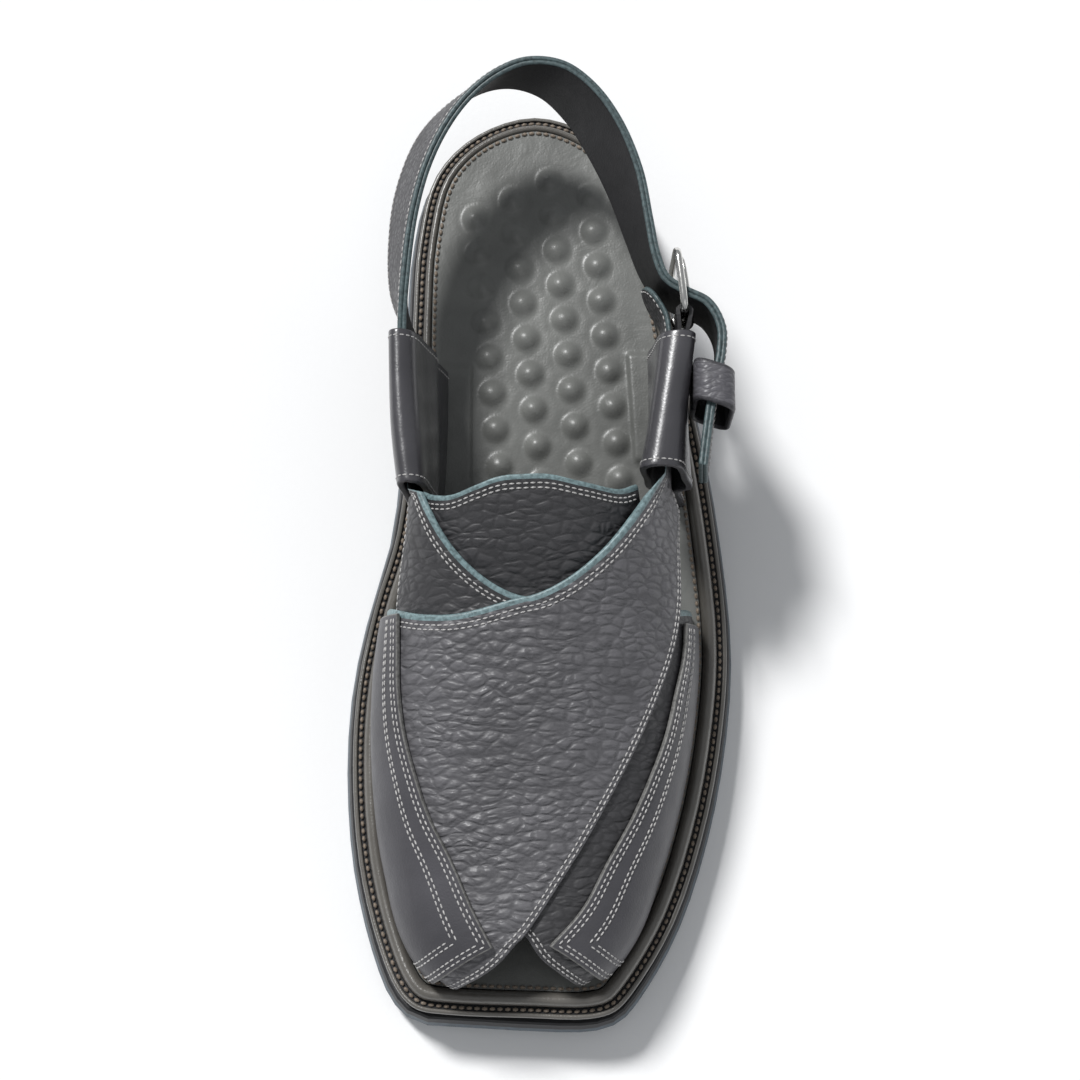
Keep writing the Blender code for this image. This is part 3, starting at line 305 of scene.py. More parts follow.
def blend(x, table, index):
    """A smooth curve through a table's first column and another one, with no humps between."""
    xs = np.array([row[0] for row in table], float)
    ys = np.array([row[index] for row in table], float)
    if xs[0] > xs[-1]:
        xs, ys = xs[::-1], ys[::-1]
    x = np.clip(np.asarray(x, float), xs[0], xs[-1])
    steps = np.diff(xs)
    slopes = np.diff(ys) / steps
    ends = np.zeros(len(xs))
    ends[0], ends[-1] = slopes[0], slopes[-1]
    for i in range(1, len(xs) - 1):
        before, after = slopes[i - 1], slopes[i]
        if before * after > 0:
            near = 2 * steps[i] + steps[i - 1]
            far = steps[i] + 2 * steps[i - 1]
            ends[i] = (near + far) / (near / before + far / after)
    i = np.clip(np.searchsorted(xs, x, side="right") - 1, 0, len(xs) - 2)
    t = (x - xs[i]) / steps[i]
    rise = ys[i] * (1 + 2 * t) * (1 - t) ** 2 + ys[i + 1] * t * t * (3 - 2 * t)
    return rise + steps[i] * (ends[i] * t * (1 - t) ** 2 + ends[i + 1] * t * t * (t - 1))


def y_at(along):
    return SOLE_LENGTH * (0.5 - np.asarray(along, float))


def along_at(y):
    return 0.5 - np.asarray(y, float) / SOLE_LENGTH


def underside(y):
    along = along_at(y)
    front = UNDERSIDE[-1][0]
    spring = np.clip((along - front) / (1 - front), 0, None)
    return HEEL_HEIGHT * blend(along, UNDERSIDE, 1) + TOE_SPRING * spring**TOE_SPRING_POWER


OUTLINE_CURVE = smooth_curve(
    [(BALL_WIDTH * across, SOLE_LENGTH * (0.5 - along)) for along, across in OUTLINE],
    OUTLINE_STEPS, closed=True,
)


def heel_share(y):
    t = np.clip((along_at(y) - RAND_NARROW[0]) / (RAND_NARROW[1] - RAND_NARROW[0]), 0, 1)
    return HEEL_RAND_SHARE + (1 - HEEL_RAND_SHARE) * t * t * (3 - 2 * t)


def rand_inset(y):
    return RAND_SETBACK + RAND_WIDTH * heel_share(y)


def inset_curve(inset):
    """The outline moved inwards by inset, a length or a function of y."""
    curve = OUTLINE_CURVE
    tangent = np.roll(curve, -1, axis=0) - np.roll(curve, 1, axis=0)
    tangent /= np.linalg.norm(tangent, axis=1)[:, None]
    inward = np.stack([-tangent[:, 1], tangent[:, 0]], axis=-1)
    depth = inset(curve[:, 1]) if callable(inset) else np.full(len(curve), float(inset))
    return curve + inward * depth[:, None]


def sides_of(curve):
    """The medial and the lateral run of a closed curve, both from heel to toe."""
    curve = np.roll(curve, -int(np.argmax(curve[:, 1])), axis=0)
    toe = int(np.argmin(curve[:, 1]))
    return curve[: toe + 1], np.vstack([curve[toe:], curve[:1]])[::-1]


def side_x(side, y, inset=0.0):
    run = sides_of(inset_curve(inset))[(side + 1) // 2]
    return np.interp(-np.asarray(y, float), -run[:, 1], run[:, 0])


MEDIAL_WING_OUT = TONGUE_WALL + LAYER_CLEAR
LATERAL_WING_OUT = MEDIAL_WING_OUT + WING_WALL - WING_LAP
MEDIAL_PANEL_OUT = LATERAL_WING_OUT + WING_WALL + LAYER_CLEAR
LATERAL_PANEL_OUT = MEDIAL_WING_OUT + WING_WALL + LAYER_CLEAR
MEDIAL_FEATHER = MEDIAL_PANEL_OUT + PANEL_WALL + 2 * LAYER_CLEAR
LATERAL_FEATHER = LATERAL_PANEL_OUT + PANEL_WALL + 3 * LAYER_CLEAR
TOE_FEATHER = LATERAL_WING_OUT + WING_WALL + LAYER_CLEAR


def feather_x(side, y):
    layers = MEDIAL_FEATHER if side < 0 else LATERAL_FEATHER
    cap = float(y_at(CAP_ALONG))
    behind = np.maximum(y, cap)
    back = cap + FEATHER_SLOPE_RUN
    slope = (side_x(side, back, rand_inset) - side_x(side, cap, rand_inset)) / (back - cap)
    edge = side_x(side, behind, rand_inset) - side * layers * heel_share(behind)
    return edge + slope * (y - behind)


def last_point(across, along, out):
    """A point out from the last. In the toe cap, along turns round its front as an arc."""
    across, along = np.broadcast_arrays(np.asarray(across, float), np.asarray(along, float))
    cap = float(y_at(CAP_ALONG))
    depth = cap - (float(y_at(1.0)) + RAND_SETBACK + RAND_WIDTH + TOE_FEATHER)
    turn = np.clip((along - CAP_ALONG) * SOLE_LENGTH / depth, 0, np.pi / 2)
    reach = np.sin(turn)
    shut = np.clip(1 - reach**CAP_POWER, 0, 1) ** (1 / CAP_POWER)
    plain = np.where(turn > 0, cap - depth * reach, y_at(along))
    angle = across * np.pi / 2
    square = blend(along_at(plain), SECTIONS, 2)
    rise = np.abs(np.cos(angle)) ** (2 / square)
    swell = 4 * rise * (1 - rise)
    y = plain - out * reach**2 - TOE_BULGE * swell * reach**4
    crown = INSTEP_HEIGHT * blend(along_at(plain), SECTIONS, 1)
    lean = blend(along_at(plain), SECTIONS, 3)
    medial = feather_x(-1, plain)
    lateral = feather_x(1, plain)
    half = (lateral - medial) / 2 * shut + out
    side = np.sign(across) * np.abs(np.sin(angle)) ** (2 / square)
    x = (medial + lateral) / 2 + half * side * (1 + SIDE_BULGE * swell)
    x = x + lean * crown * shut * rise
    z = underside(y) + UPPER_FOOT + (crown * shut + out) * rise
    return np.stack([x, y, z], axis=-1)


def loop_table(side):
    return MEDIAL_LOOP if side < 0 else LATERAL_LOOP


def loop_axis(side, y, height, shift=0.0):
    """A point on the middle plane of a loop, at a share of its height."""
    top = BALL_WIDTH * blend(along_at(y), loop_table(side), 1)
    base = side_x(side, y, rand_inset) - side * (LOOP_SETBACK + LOOP_WALL + SEAM_GAP / 2)
    foot = underside(y) + UPPER_FOOT
    x = base + (top - base) * height + shift
    z = foot + (LOOP_TOP - foot) * height
    return np.stack(np.broadcast_arrays(x, y, z), axis=-1)


def loop_span(y):
    """The height of a loop above its foot."""
    return LOOP_TOP - float(underside(y)) - UPPER_FOOT


def edge_curve(table, index, side, rows):
    """An edge of the upper from a table of along and across, mirrored to its side."""
    return even_curve([(row[index] * side, row[0]) for row in table], rows)


def ruled(start, end, shares):
    shares = np.asarray(shares)[None, :, None]
    return start[:, None, :] * (1 - shares) + end[:, None, :] * shares


# Meshes

# How a sheet's half thickness grows from its edge: distance in millimetres, share
PAINTED_EDGE = ((0.0, 0.0), (0.03, 0.25), (0.18, 0.55), (0.45, 0.80), (0.8, 0.95), (1.15, 1.0))
CUT_EDGE = ((0.0, 0.0), (0.0, 0.62), (0.05, 0.80), (0.2, 0.94), (0.45, 1.0))
CUT_EDGES = (CUT_EDGE,) * 4
DOUBLE_EDGE = ((0.45, 0.0), (0.05, 0.14), (0.0, 0.45), (0.08, 0.80), (0.5, 1.0))
# Points closer than this, in metres, become one
WELD = 2e-6


def respaced(outer, inner, head, tail, count):
    """Both faces of a sheet with their columns at set distances from the first and last one."""
    faces = ([], [])
    for row, under in zip(outer, inner):
        run = run_of(row)
        total = run[-1]
        ends = max(head[-1] + tail[-1], 0.01)
        fit = min(1.0, 0.8 * total / ends)
        middle = np.linspace(head[-1] * fit, total - tail[-1] * fit, count)[1:-1]
        places = np.concatenate([head * fit, middle, total - tail[::-1] * fit])
        faces[0].append(points_at(places, run, row))
        run = run_of(under)
        faces[1].append(points_at(places * run[-1] / total, run, under))
    return np.array(faces[0]), np.array(faces[1])


def edge_steps(profile, strip):
    """The distances and shares of an edge profile, with the end of its painted strip."""
    distances = [distance for distance, _ in profile]
    shares = [share for _, share in profile]
    if strip > distances[-1]:
        distances.append(strip)
        shares.append(1.0)
    return np.array(distances), np.array(shares)


def lay_grid(work, points):
    """Adds a grid on rows by columns of points in millimetres. It returns each new face with
    its row and its column."""
    rows, columns, _ = points.shape
    new = bmesh.ops.create_grid(work, x_segments=columns - 1, y_segments=rows - 1, size=0.5)
    place = {}
    for vert in new["verts"]:
        j = round((vert.co.x + 0.5) * (columns - 1))
        i = round((vert.co.y + 0.5) * (rows - 1))
        place[vert] = (i, j)
        vert.co = Vector(points[i, j] * MM)
    faces = {face for vert in new["verts"] for face in vert.link_faces}
    return {face: min(place[vert] for vert in face.verts) for face in faces}


def sheet_face(work, points, painted, finish, flip):
    """One face of a sheet as a grid, with the paint's material on its edges."""
    rows, columns, _ = points.shape
    faces = lay_grid(work, points)
    left, right, first, last = painted
    for face, (row, column) in faces.items():
        rim = column >= columns - 1 - right or row < first or row >= rows - 1 - last
        face.material_index = 1 if column < left else 3 if rim else finish
    if flip:
        bmesh.ops.reverse_faces(work, faces=list(faces))


def leather_sheet(name, outer, inner, finishes, edges, strips=(0, 0, 0, 0)):
    """A closed leather sheet between two grids. It returns the piece and its outer face.

    edges are the profiles and strips the painted widths of its first column, last column,
    first row and last row.
    """
    steps = [edge_steps(edge, strip) for edge, strip in zip(edges, strips)]
    shares = []
    for head, tail in (steps[:2], steps[2:]):
        outer, inner = respaced(outer, inner, head[0], tail[0], outer.shape[1])
        plain = np.ones(outer.shape[1] - len(head[1]) - len(tail[1]))
        shares.append(np.concatenate([head[1], plain, tail[1][::-1]]))
        outer, inner = outer.transpose(1, 0, 2), inner.transpose(1, 0, 2)
    across, along = shares
    middle = (outer + inner) / 2
    half = (outer - inner) / 2 * (along[:, None] * across[None, :])[..., None]
    front, back = middle + half, middle - half
    painted = [len(step[0]) - 1 for step in steps]
    rim = [min(len(edge) - 1, width) for edge, width in zip(edges, painted)]
    turn = float((normals_of(outer) * (outer - inner)).sum()) > 0
    work = bmesh.new()
    sheet_face(work, front, painted, 0, turn)
    sheet_face(work, back, rim, 2, not turn)
    bmesh.ops.remove_doubles(work, verts=work.verts, dist=WELD)
    return finish_mesh(name, work, finishes, 60), outer


def shade_mesh(mesh, sharp):
    """Shades a mesh smooth, with edges sharp from an angle in degrees."""
    mesh.shade_smooth()
    mesh.set_sharp_from_angle(angle=math.radians(sharp))


def finish_mesh(name, work, finishes, sharp=None):
    """An object at the origin made from a bmesh, with its materials."""
    mesh = bpy.data.meshes.new(name)
    work.to_mesh(mesh)
    work.free()
    for finish in finishes:
        mesh.materials.append(finish)
    if sharp:
        shade_mesh(mesh, sharp)
    thing = bpy.data.objects.new(name, mesh)
    bpy.context.scene.collection.objects.link(thing)
    return thing


def settle(thing, slot, *nodes):
    """Rides the piece on the shoe and hides the solids it stands for."""
    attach(thing, "root")
    if nodes:
        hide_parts(*nodes)


def normals_of(points):
    """Unit normals of a grid of points."""
    normal = np.cross(np.gradient(points, axis=0), np.gradient(points, axis=1))
    return normal / np.maximum(np.linalg.norm(normal, axis=2), 1e-9)[..., None]


def outward_sign(points, towards):
    """1 if the grid's normals point along the given directions, or -1."""
    return 1 if float((normals_of(points) * towards).sum()) > 0 else -1


def stitch_row(work, path, normals, pitch, width, fill=0.74, slant=0.0):
    """Stitches along a path of millimetre points: short rounded threads with a gap between."""
    run = run_of(path)
    count = int(run[-1] / pitch)
    if count < 1:
        return
    pitch = run[-1] / count
    for number in range(count):
        ends = (number + (1 - fill) / 2) * pitch, (number + (1 + fill) / 2) * pitch
        a, b = [points_at(end, run, path) for end in ends]
        up = points_at((ends[0] + ends[1]) / 2, run, normals)
        up /= np.linalg.norm(up)
        ahead = b - a
        length = np.linalg.norm(ahead)
        ahead = ahead / length
        up = up - ahead * (up @ ahead)
        up /= np.linalg.norm(up)
        aside = np.cross(up, ahead)
        if slant:
            ahead, aside = ahead + aside * slant, aside - ahead * slant
        centre = (a + b) / 2 + up * width * 0.12
        turn = Matrix.Identity(4)
        for axis in range(3):
            turn[axis][0] = ahead[axis] * (length + width * 0.4) / 2 * MM
            turn[axis][1] = aside[axis] * width / 2 * MM
            turn[axis][2] = up[axis] * width * 0.42 * MM
            turn[axis][3] = centre[axis] * MM
        bmesh.ops.create_uvsphere(work, u_segments=6, v_segments=5, radius=1.0, matrix=turn)


def thread_piece(name, rows, pitch, width, finish, slot, fill=0.74, slant=0.0):
    """All the stitches of one seam as one piece. Rows are (path, normals)."""
    work = bmesh.new()
    for path, normals in rows:
        stitch_row(work, path, normals, pitch, width, fill, slant)
    bmesh.ops.recalc_face_normals(work, faces=work.faces)
    thing = finish_mesh(name, work, [finish])
    thing.data.shade_smooth()
    settle(thing, slot)


def edge_path(points, sign, distance, first=0.0, last=1.0):
    """The line at a distance from a grid's first column, between two shares of its length."""
    normals = normals_of(points) * sign
    distance = np.broadcast_to(distance, (len(points),))
    path = []
    ups = []
    for depth, row, up in zip(distance, points, normals):
        run = run_of(row)
        path.append(points_at(depth, run, row))
        ups.append(points_at(depth, run, up))
    path, ups = np.array(path), np.array(ups)
    run = run_of(path) / max(run_of(path)[-1], 1e-6)
    kept = (run >= first) & (run <= last)
    return path[kept], ups[kept]


def seam(name, rows, slot, scale=1.0):
    """The rows of stitches of one seam."""
    pitch = sizes().stitch_pitch / MM
    width = sizes().thread_width / MM * scale
    thread_piece(name, rows, pitch, width, FINISHES["thread"], slot)


# Finishes


def link(tree, value, socket):
    """Sets a socket, or links it to another socket or to a node's first output."""
    if isinstance(value, bpy.types.Node):
        value = value.outputs[0]
    if isinstance(value, bpy.types.NodeSocket):
        tree.links.new(value, socket)
    else:
        socket.default_value = value


def add_node(tree, kind, settings=None, **sockets):
    """A node with its settings and its sockets, each given by name, or by i and its number."""
    node = tree.nodes.new("ShaderNode" + kind)
    for key, value in (settings or {}).items():
        setattr(node, key, value)
    for key, value in sockets.items():
        place = int(key[1:]) if key[1:].isdigit() else key.replace("_", " ")
        link(tree, value, node.inputs[place])
    return node


def new_finish(name, colour, roughness, metallic=0.0):
    """A material, its node tree, its surface shader and the place on the piece."""
    finish = bpy.data.materials.new(name)
    finish.use_nodes = True
    tree = finish.node_tree
    surface = tree.nodes["Principled BSDF"]
    surface.inputs["Base Color"].default_value = (*colour[:3], 1.0)
    surface.inputs["Roughness"].default_value = roughness
    surface.inputs["Metallic"].default_value = metallic
    return finish, tree, surface, add_node(tree, "TexCoord").outputs["Object"]


def ramp(tree, value, stops):
    node = add_node(tree, "ValToRGB", Fac=value)
    elements = node.color_ramp.elements
    while len(elements) < len(stops):
        elements.new(0.5)
    for element, (place, colour) in zip(elements, stops):
        element.position = place
        element.color = (*colour[:3], 1.0)
    return node


def shade(colour, share):
    return [channel * share for channel in colour[:3]]


def shades(tree, value, colour, *stops):
    """Shades of one colour by a value: each stop is a place and a share of the colour."""
    return ramp(tree, value, [(place, shade(colour, share)) for place, share in stops])


def raise_grain(tree, surface, height, distance, strength=1.0, under=None):
    """A bump on the surface, over another bump if one is given."""
    bump = add_node(tree, "Bump", Height=height, Distance=distance, Strength=strength)
    if under:
        link(tree, under, bump.inputs["Normal"])
    link(tree, bump, surface.inputs["Normal"])
    return bump


def vary_gloss(tree, surface, value, dull, bright):
    """The surface's roughness by a value."""
    gloss = add_node(tree, "MapRange", Value=value, To_Min=dull, To_Max=bright)
    link(tree, gloss, surface.inputs["Roughness"])


def grained_leather(name, colour, pebble, depth, roughness, stretch=1.0):
    """Full-grain cowhide, drummed so that it pebbles: soft pillows with creases between, darkened
    as painted shade.
    """
    finish, tree, surface, skin = new_finish(name, colour, roughness)
    scale = 1.0 / pebble
    wander = add_node(
        tree, "TexNoise", Vector=skin, Scale=scale * 0.45, Detail=1.0, Roughness=0.4
    )
    bent = add_node(
        tree, "VectorMath", {"operation": "SCALE"}, i0=wander.outputs["Color"], Scale=pebble * 0.8
    )
    moved = add_node(tree, "VectorMath", {"operation": "ADD"}, i0=skin, i1=bent)
    sized = add_node(tree, "Mapping", Vector=moved, Scale=(scale, scale * stretch, scale))
    cells = add_node(tree, "TexVoronoi", {"feature": "DISTANCE_TO_EDGE"}, Vector=sized, Scale=1.0)
    soft = {"feature": "SMOOTH_F1"}
    pillow = add_node(tree, "TexVoronoi", soft, Vector=sized, Scale=1.0, Smoothness=0.5)
    small = add_node(tree, "TexVoronoi", soft, Vector=sized, Scale=2.7, Smoothness=0.4)
    pores = add_node(tree, "TexNoise", Vector=skin, Scale=scale * 8, Detail=3.0)
    uneven = add_node(tree, "TexNoise", Vector=skin, Scale=scale * 0.35, Detail=2.0)
    step = {"interpolation_type": "SMOOTHERSTEP"}
    cell = add_node(tree, "MapRange", step, Value=cells, From_Max=0.26)
    deep = add_node(tree, "MapRange", Value=uneven, From_Min=0.30, From_Max=0.62, To_Min=0.25)
    crease = add_node(tree, "Math", {"operation": "MULTIPLY"}, i0=cell, i1=deep)
    height = 0.0
    for source, share in ((crease, 0.26), (pillow, -1.0), (small, -0.22), (pores, 0.05)):
        height = add_node(
            tree, "Math", {"operation": "MULTIPLY_ADD"}, i0=source, i1=share, i2=height
        )
    raise_grain(tree, surface, height, depth)
    patches = add_node(tree, "TexNoise", Vector=skin, Scale=38.0, Detail=3.0)
    tone = shades(tree, patches, colour, (0.3, 0.84), (0.7, 1.18))
    # Painted shade: the colour darkens to half in the creases, standing in for the shade between
    # the pebbles.
    dark = ramp(tree, crease, ((0.0, (0.5, 0.5, 0.51)), (0.4, (1.0, 1.0, 1.0))))
    multiply = {"data_type": "RGBA", "blend_type": "MULTIPLY"}
    tone_with_painted_shade = add_node(tree, "Mix", multiply, i0=0.5, i6=tone, i7=dark)
    link(tree, tone_with_painted_shade.outputs[2], surface.inputs["Base Color"])
    vary_gloss(tree, surface, crease, roughness + 0.2, roughness)
    surface.inputs["Specular IOR Level"].default_value = 0.55
    return finish


def smooth_leather(name, colour, roughness, depth=0.00008, coat=0.0, wrinkle=0.0003):
    """Corrected-grain box calf: fine pores, slack wrinkles and a soft polish."""
    finish, tree, surface, skin = new_finish(name, colour, roughness)
    edges = {"feature": "DISTANCE_TO_EDGE"}
    pores = add_node(tree, "TexVoronoi", edges, Vector=skin, Scale=950.0)
    cloud = add_node(tree, "TexNoise", Vector=skin, Scale=260.0, Detail=4.0)
    slack = add_node(tree, "TexNoise", Vector=skin, Scale=75.0, Detail=3.0, Distortion=0.8)
    fine = add_node(tree, "Math", {"operation": "ADD"}, i0=pores, i1=cloud)
    wrinkles = raise_grain(tree, surface, slack, wrinkle)
    raise_grain(tree, surface, fine, depth, under=wrinkles)
    patches = add_node(tree, "TexNoise", Vector=skin, Scale=45.0, Detail=4.0)
    tone = shades(tree, patches, colour, (0.3, 0.82), (0.72, 1.2))
    link(tree, tone, surface.inputs["Base Color"])
    vary_gloss(tree, surface, cloud, roughness - 0.06, roughness + 0.10)
    surface.inputs["Coat Weight"].default_value = coat
    surface.inputs["Coat Roughness"].default_value = 0.25
    return finish


def edge_paint(name, colour):
    """Acrylic edge paint on cut leather: a satin film that lets the fibres show."""
    finish, tree, surface, skin = new_finish(name, colour, 0.42)
    fibre = add_node(tree, "TexNoise", Vector=skin, Scale=900.0, Detail=4.0)
    tone = shades(tree, fibre, colour, (0.32, 0.55), (0.62, 1.2))
    link(tree, tone, surface.inputs["Base Color"])
    raise_grain(tree, surface, fibre, 0.00012)
    return finish


def sewing_thread(name, colour, roughness, twist):
    """Bonded polyester or waxed linen thread: plies twisted round each other, a little furry."""
    finish, tree, surface, skin = new_finish(name, colour, roughness)
    plies = add_node(tree, "TexNoise", Vector=skin, Scale=1.0 / twist, Detail=2.0)
    tone = shades(tree, plies, colour, (0.30, 0.62), (0.66, 1.25))
    link(tree, tone, surface.inputs["Base Color"])
    raise_grain(tree, surface, plies, 0.0001)
    surface.inputs["Sheen Weight"].default_value = 0.3
    return finish


def moulded_rubber(name, colour, roughness, grain=0.00025):
    """Moulded cellular rubber: matt, with a sanded edge that runs along the sole."""
    finish, tree, surface, skin = new_finish(name, colour, roughness)
    flat = add_node(tree, "Mapping", Vector=skin, Scale=(1.0, 1.0, 5.0))
    sanded = add_node(tree, "TexNoise", Vector=flat, Scale=420.0, Detail=5.0)
    tone = shades(tree, sanded, colour, (0.30, 0.72), (0.70, 1.2))
    link(tree, tone, surface.inputs["Base Color"])
    raise_grain(tree, surface, sanded, grain, 0.7)
    return finish


def layered_outsole(name, colour, dark):
    """Moulded rubber in two pours, black over blue grey, with a ribbed tread underneath."""
    finish, tree, surface, skin = new_finish(name, colour, 0.55)
    place = add_node(tree, "SeparateXYZ", Vector=skin)
    half = SOLE_LENGTH / 2 * MM
    along = add_node(tree, "MapRange", Value=place.outputs["Y"], From_Min=half, From_Max=-half)
    stops = []
    for share in (0.20, 0.33, 0.43, 0.52, 0.60, 0.83, 0.92, 1.0):
        rise = float(underside(y_at(share))) / HEEL_HEIGHT
        stops.append((share, (rise, rise, rise)))
    raised = add_node(
        tree, "Math", {"operation": "MULTIPLY"}, i0=ramp(tree, along, stops), i1=HEEL_HEIGHT * MM
    )
    above = add_node(tree, "Math", {"operation": "SUBTRACT"}, i0=place.outputs["Z"], i1=raised)
    layer = add_node(tree, "MapRange", Value=above, From_Min=4.6 * MM, From_Max=5.0 * MM)
    sanded = add_node(tree, "TexNoise", Vector=skin, Scale=420.0, Detail=5.0)
    rough = shades(tree, sanded, colour, (0.30, 0.72), (0.70, 1.2))
    tone = add_node(tree, "Mix", {"data_type": "RGBA"}, i0=layer, i6=rough, i7=(*dark[:3], 1.0))
    link(tree, tone.outputs[2], surface.inputs["Base Color"])
    waves = {"wave_profile": "SIN", "bands_direction": "Y"}
    ribs = add_node(
        tree, "TexWave", waves, Vector=skin, Scale=52.0, Distortion=1.6, Detail=0.0
    )
    facing = add_node(
        tree, "SeparateXYZ", Vector=add_node(tree, "NewGeometry").outputs["Normal"]
    )
    under = add_node(
        tree, "Math", {"operation": "LESS_THAN"}, i0=facing.outputs["Z"], i1=-0.6
    )
    tread = add_node(
        tree, "Math", {"operation": "MULTIPLY"}, i0=ribs.outputs["Fac"], i1=under
    )
    coarse = raise_grain(tree, surface, tread, 0.0012)
    raise_grain(tree, surface, sanded, 0.0002, under=coarse)
    return finish


def polished_nickel(name, colour):
    """Nickel-plated steel wire: mirror bright, with faint drawing marks."""
    finish, tree, surface, skin = new_finish(name, colour, 0.14, 1.0)
    marks = add_node(tree, "TexNoise", Vector=skin, Scale=700.0, Detail=2.0)
    vary_gloss(tree, surface, marks, 0.10, 0.24)
    return finish


FINISHES = {}


def make_finishes():
    chosen = colours()
    pebble = sizes().pebble_size
    hide, calf, black = chosen.pebbled, chosen.smooth, chosen.rubber
    for name, make, title, *looks in (
        ("pebbled", grained_leather, "Drummed full grain cowhide", hide, pebble, 0.0009, 0.38, 2.0),
        # Painted shade: a darker copy of the pebbled cowhide for the tongue and the medial wing,
        # partly standing in for the shade they lie in.
        ("shaded", grained_leather, "Darker drummed cowhide", shade(hide, 0.38), pebble, 0.0006,
         0.40, 2.0),
        ("strap", grained_leather, "Fine grained strap leather", shade(hide, 0.55), pebble * 0.42,
         0.00025, 0.42),
        ("smooth", smooth_leather, "Box calf", calf, 0.40),
        ("loop", smooth_leather, "Polished box calf", shade(calf, 0.8), 0.29, 0.00005, 0.6),
        ("lining", smooth_leather, "Dark lining leather", chosen.lining, 0.62, 0.0002),
        ("edge", edge_paint, "Acrylic edge paint", chosen.edge),
        ("raw edge", edge_paint, "Burnished raw edge", linear("#6c6b69")),
        ("strap edge", edge_paint, "Strap edge paint", shade(chosen.edge, 0.4)),
        ("strap lining", smooth_leather, "Strap lining", shade(calf, 0.2), 0.55),
        # Painted highlight: the keeper is lighter than the calf, partly standing in for the light
        # its upturned bulge catches.
        ("keeper", grained_leather, "Creased keeper leather", shade(calf, 1.5), pebble * 0.7,
         0.00025, 0.34, 2.6),
        ("dark edge", edge_paint, "Dark edge paint", shade(calf, 0.8)),
        ("thread", sewing_thread, "Bonded polyester thread", chosen.thread, 0.6, 0.0005),
        ("welt thread", sewing_thread, "Waxed linen thread", chosen.welt_thread, 0.5, 0.0008),
        ("welt", smooth_leather, "Vegetable tanned welt", chosen.welt, 0.30, 0.0001, 0.35),
        ("channel", smooth_leather, "Dyed welt channel", black, 0.7),
        ("footbed", smooth_leather, "Sheep lining leather", chosen.footbed, 0.38, 0.00006, 0.08,
         0.0005),
        ("outsole", layered_outsole, "Two pour moulded rubber", chosen.outsole, black),
        ("rubber", moulded_rubber, "Black vulcanised rubber", black, 0.65),
        ("nickel", polished_nickel, "Nickel plated steel", chosen.nickel),
    ):
        FINISHES[name] = make(title, *looks)


def layers(face, edge, back="lining", cut=None):
    """The finishes of a sheet: its face, its painted edge, its back and its other edges."""
    return [FINISHES[name] for name in (face, edge, back, cut or edge)]


# The sole


BAND_STEPS = 420


def around_sole(inset, height, count):
    """A closed line round the sole at an inset and a height above its underside."""
    curve = even_points(inset_curve(inset), count + 1, closed=True)
    rise = height(curve[:, 1]) if callable(height) else height
    return np.column_stack([curve, underside(curve[:, 1]) + rise])


def sole_band(name, profile, finishes, node, black_steps=()):
    """A ring round the sole. The profile is (inset, height) from its foot outside to inside,
    and the steps of it that are listed in the last argument take the second finish."""
    levels = [around_sole(inset, height, BAND_STEPS) for inset, height in profile]
    work = bmesh.new()
    for face, (step, _) in lay_grid(work, np.array(levels + levels[:1])).items():
        face.material_index = int(step in black_steps)
    bmesh.ops.remove_doubles(work, verts=work.verts, dist=WELD)
    bmesh.ops.recalc_face_normals(work, faces=work.faces)
    settle(finish_mesh(name, work, finishes, 50), "welt_leather", node)


def rand_share(width_share, height_share):
    def inset(y):
        return RAND_SETBACK + RAND_WIDTH * heel_share(y) * width_share

    def height(y):
        return WELT_TOP + CLEAR + RAND_HEIGHT * heel_share(y) * height_share

    return inset, height


def dress(node, finish):
    """Gives a solid that stays in sight its finish."""
    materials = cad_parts[node].data.materials
    materials.clear()
    materials.append(FINISHES[finish])


class CHAPPAL_OT_sole(bpy.types.Operator):
    """Dresses the heel, the outsole and the midsole, and makes the welt and the rand"""

    bl_idname = "chappal.sole"
    bl_label = "Sole"

    def execute(self, context):
        dress("heel", "rubber")
        dress("outsole", "outsole")
        dress("midsole", "rubber")
        welt = (
            (0.5, WELT_FOOT), (0.0, WELT_FOOT + 0.5), (-0.1, WELT_FOOT + 1.7),
            (0.0, WELT_TOP - 0.7), (0.25, WELT_TOP - 0.2), (0.6, WELT_TOP),
            (1.1, WELT_TOP), (1.3, WELT_TOP - 0.15), (1.45, WELT_TOP - 0.8),
            (3.1, WELT_TOP - 0.8), (3.4, WELT_TOP - 0.1), (6.5, WELT_TOP - 0.1),
            (6.5, WELT_FOOT),
        )
        # The channel's steps take the black finish.
        channel = (7, 8, 9)
        leather = [FINISHES["welt"], FINISHES["channel"]]
        sole_band("welt_strip", welt, leather, "welt", channel)
        rand = []
        for turn in np.radians(np.linspace(-12, 192, 13)):
            rand.append(rand_share(0.5 - 0.5 * math.cos(turn), max(0.0, math.sin(turn)) ** 0.8))
        rand = [rand_share(0.03, 0.0)] + rand[1:-1] + [rand_share(0.97, 0.0)]
        sole_band("rand_rim", rand, leather[:1], "rand")
        return {"FINISHED"}


def knob_places():
    places = []
    rows = int(SOLE_LENGTH / KNOB_PITCH)
    for number in (-2, -1, 0, 1, 2):
        for row in range(-rows, rows):
            step = row + KNOB_ROW_SHIFT + 0.5 * (number % 2) + KNOB_ROW_SLANT * number
            y = step * KNOB_PITCH
            x = (number + KNOB_COLUMN_SHIFT) * KNOB_COLUMN_GAP - KNOB_SLANT * y
            inner = side_x(-1, y, rand_inset) + KNOB_MARGIN
            outer = side_x(1, y, rand_inset) - KNOB_MARGIN
            if inner < x < outer and y_at(KNOB_FIELD[1]) < y < y_at(KNOB_FIELD[0]):
                places.append((x, y))
    return places


def ease(x, start, stop):
    """0 before start and 1 after stop, smooth between."""
    t = np.clip((x - start) / (stop - start), 0, 1)
    return t * t * (3 - 2 * t)


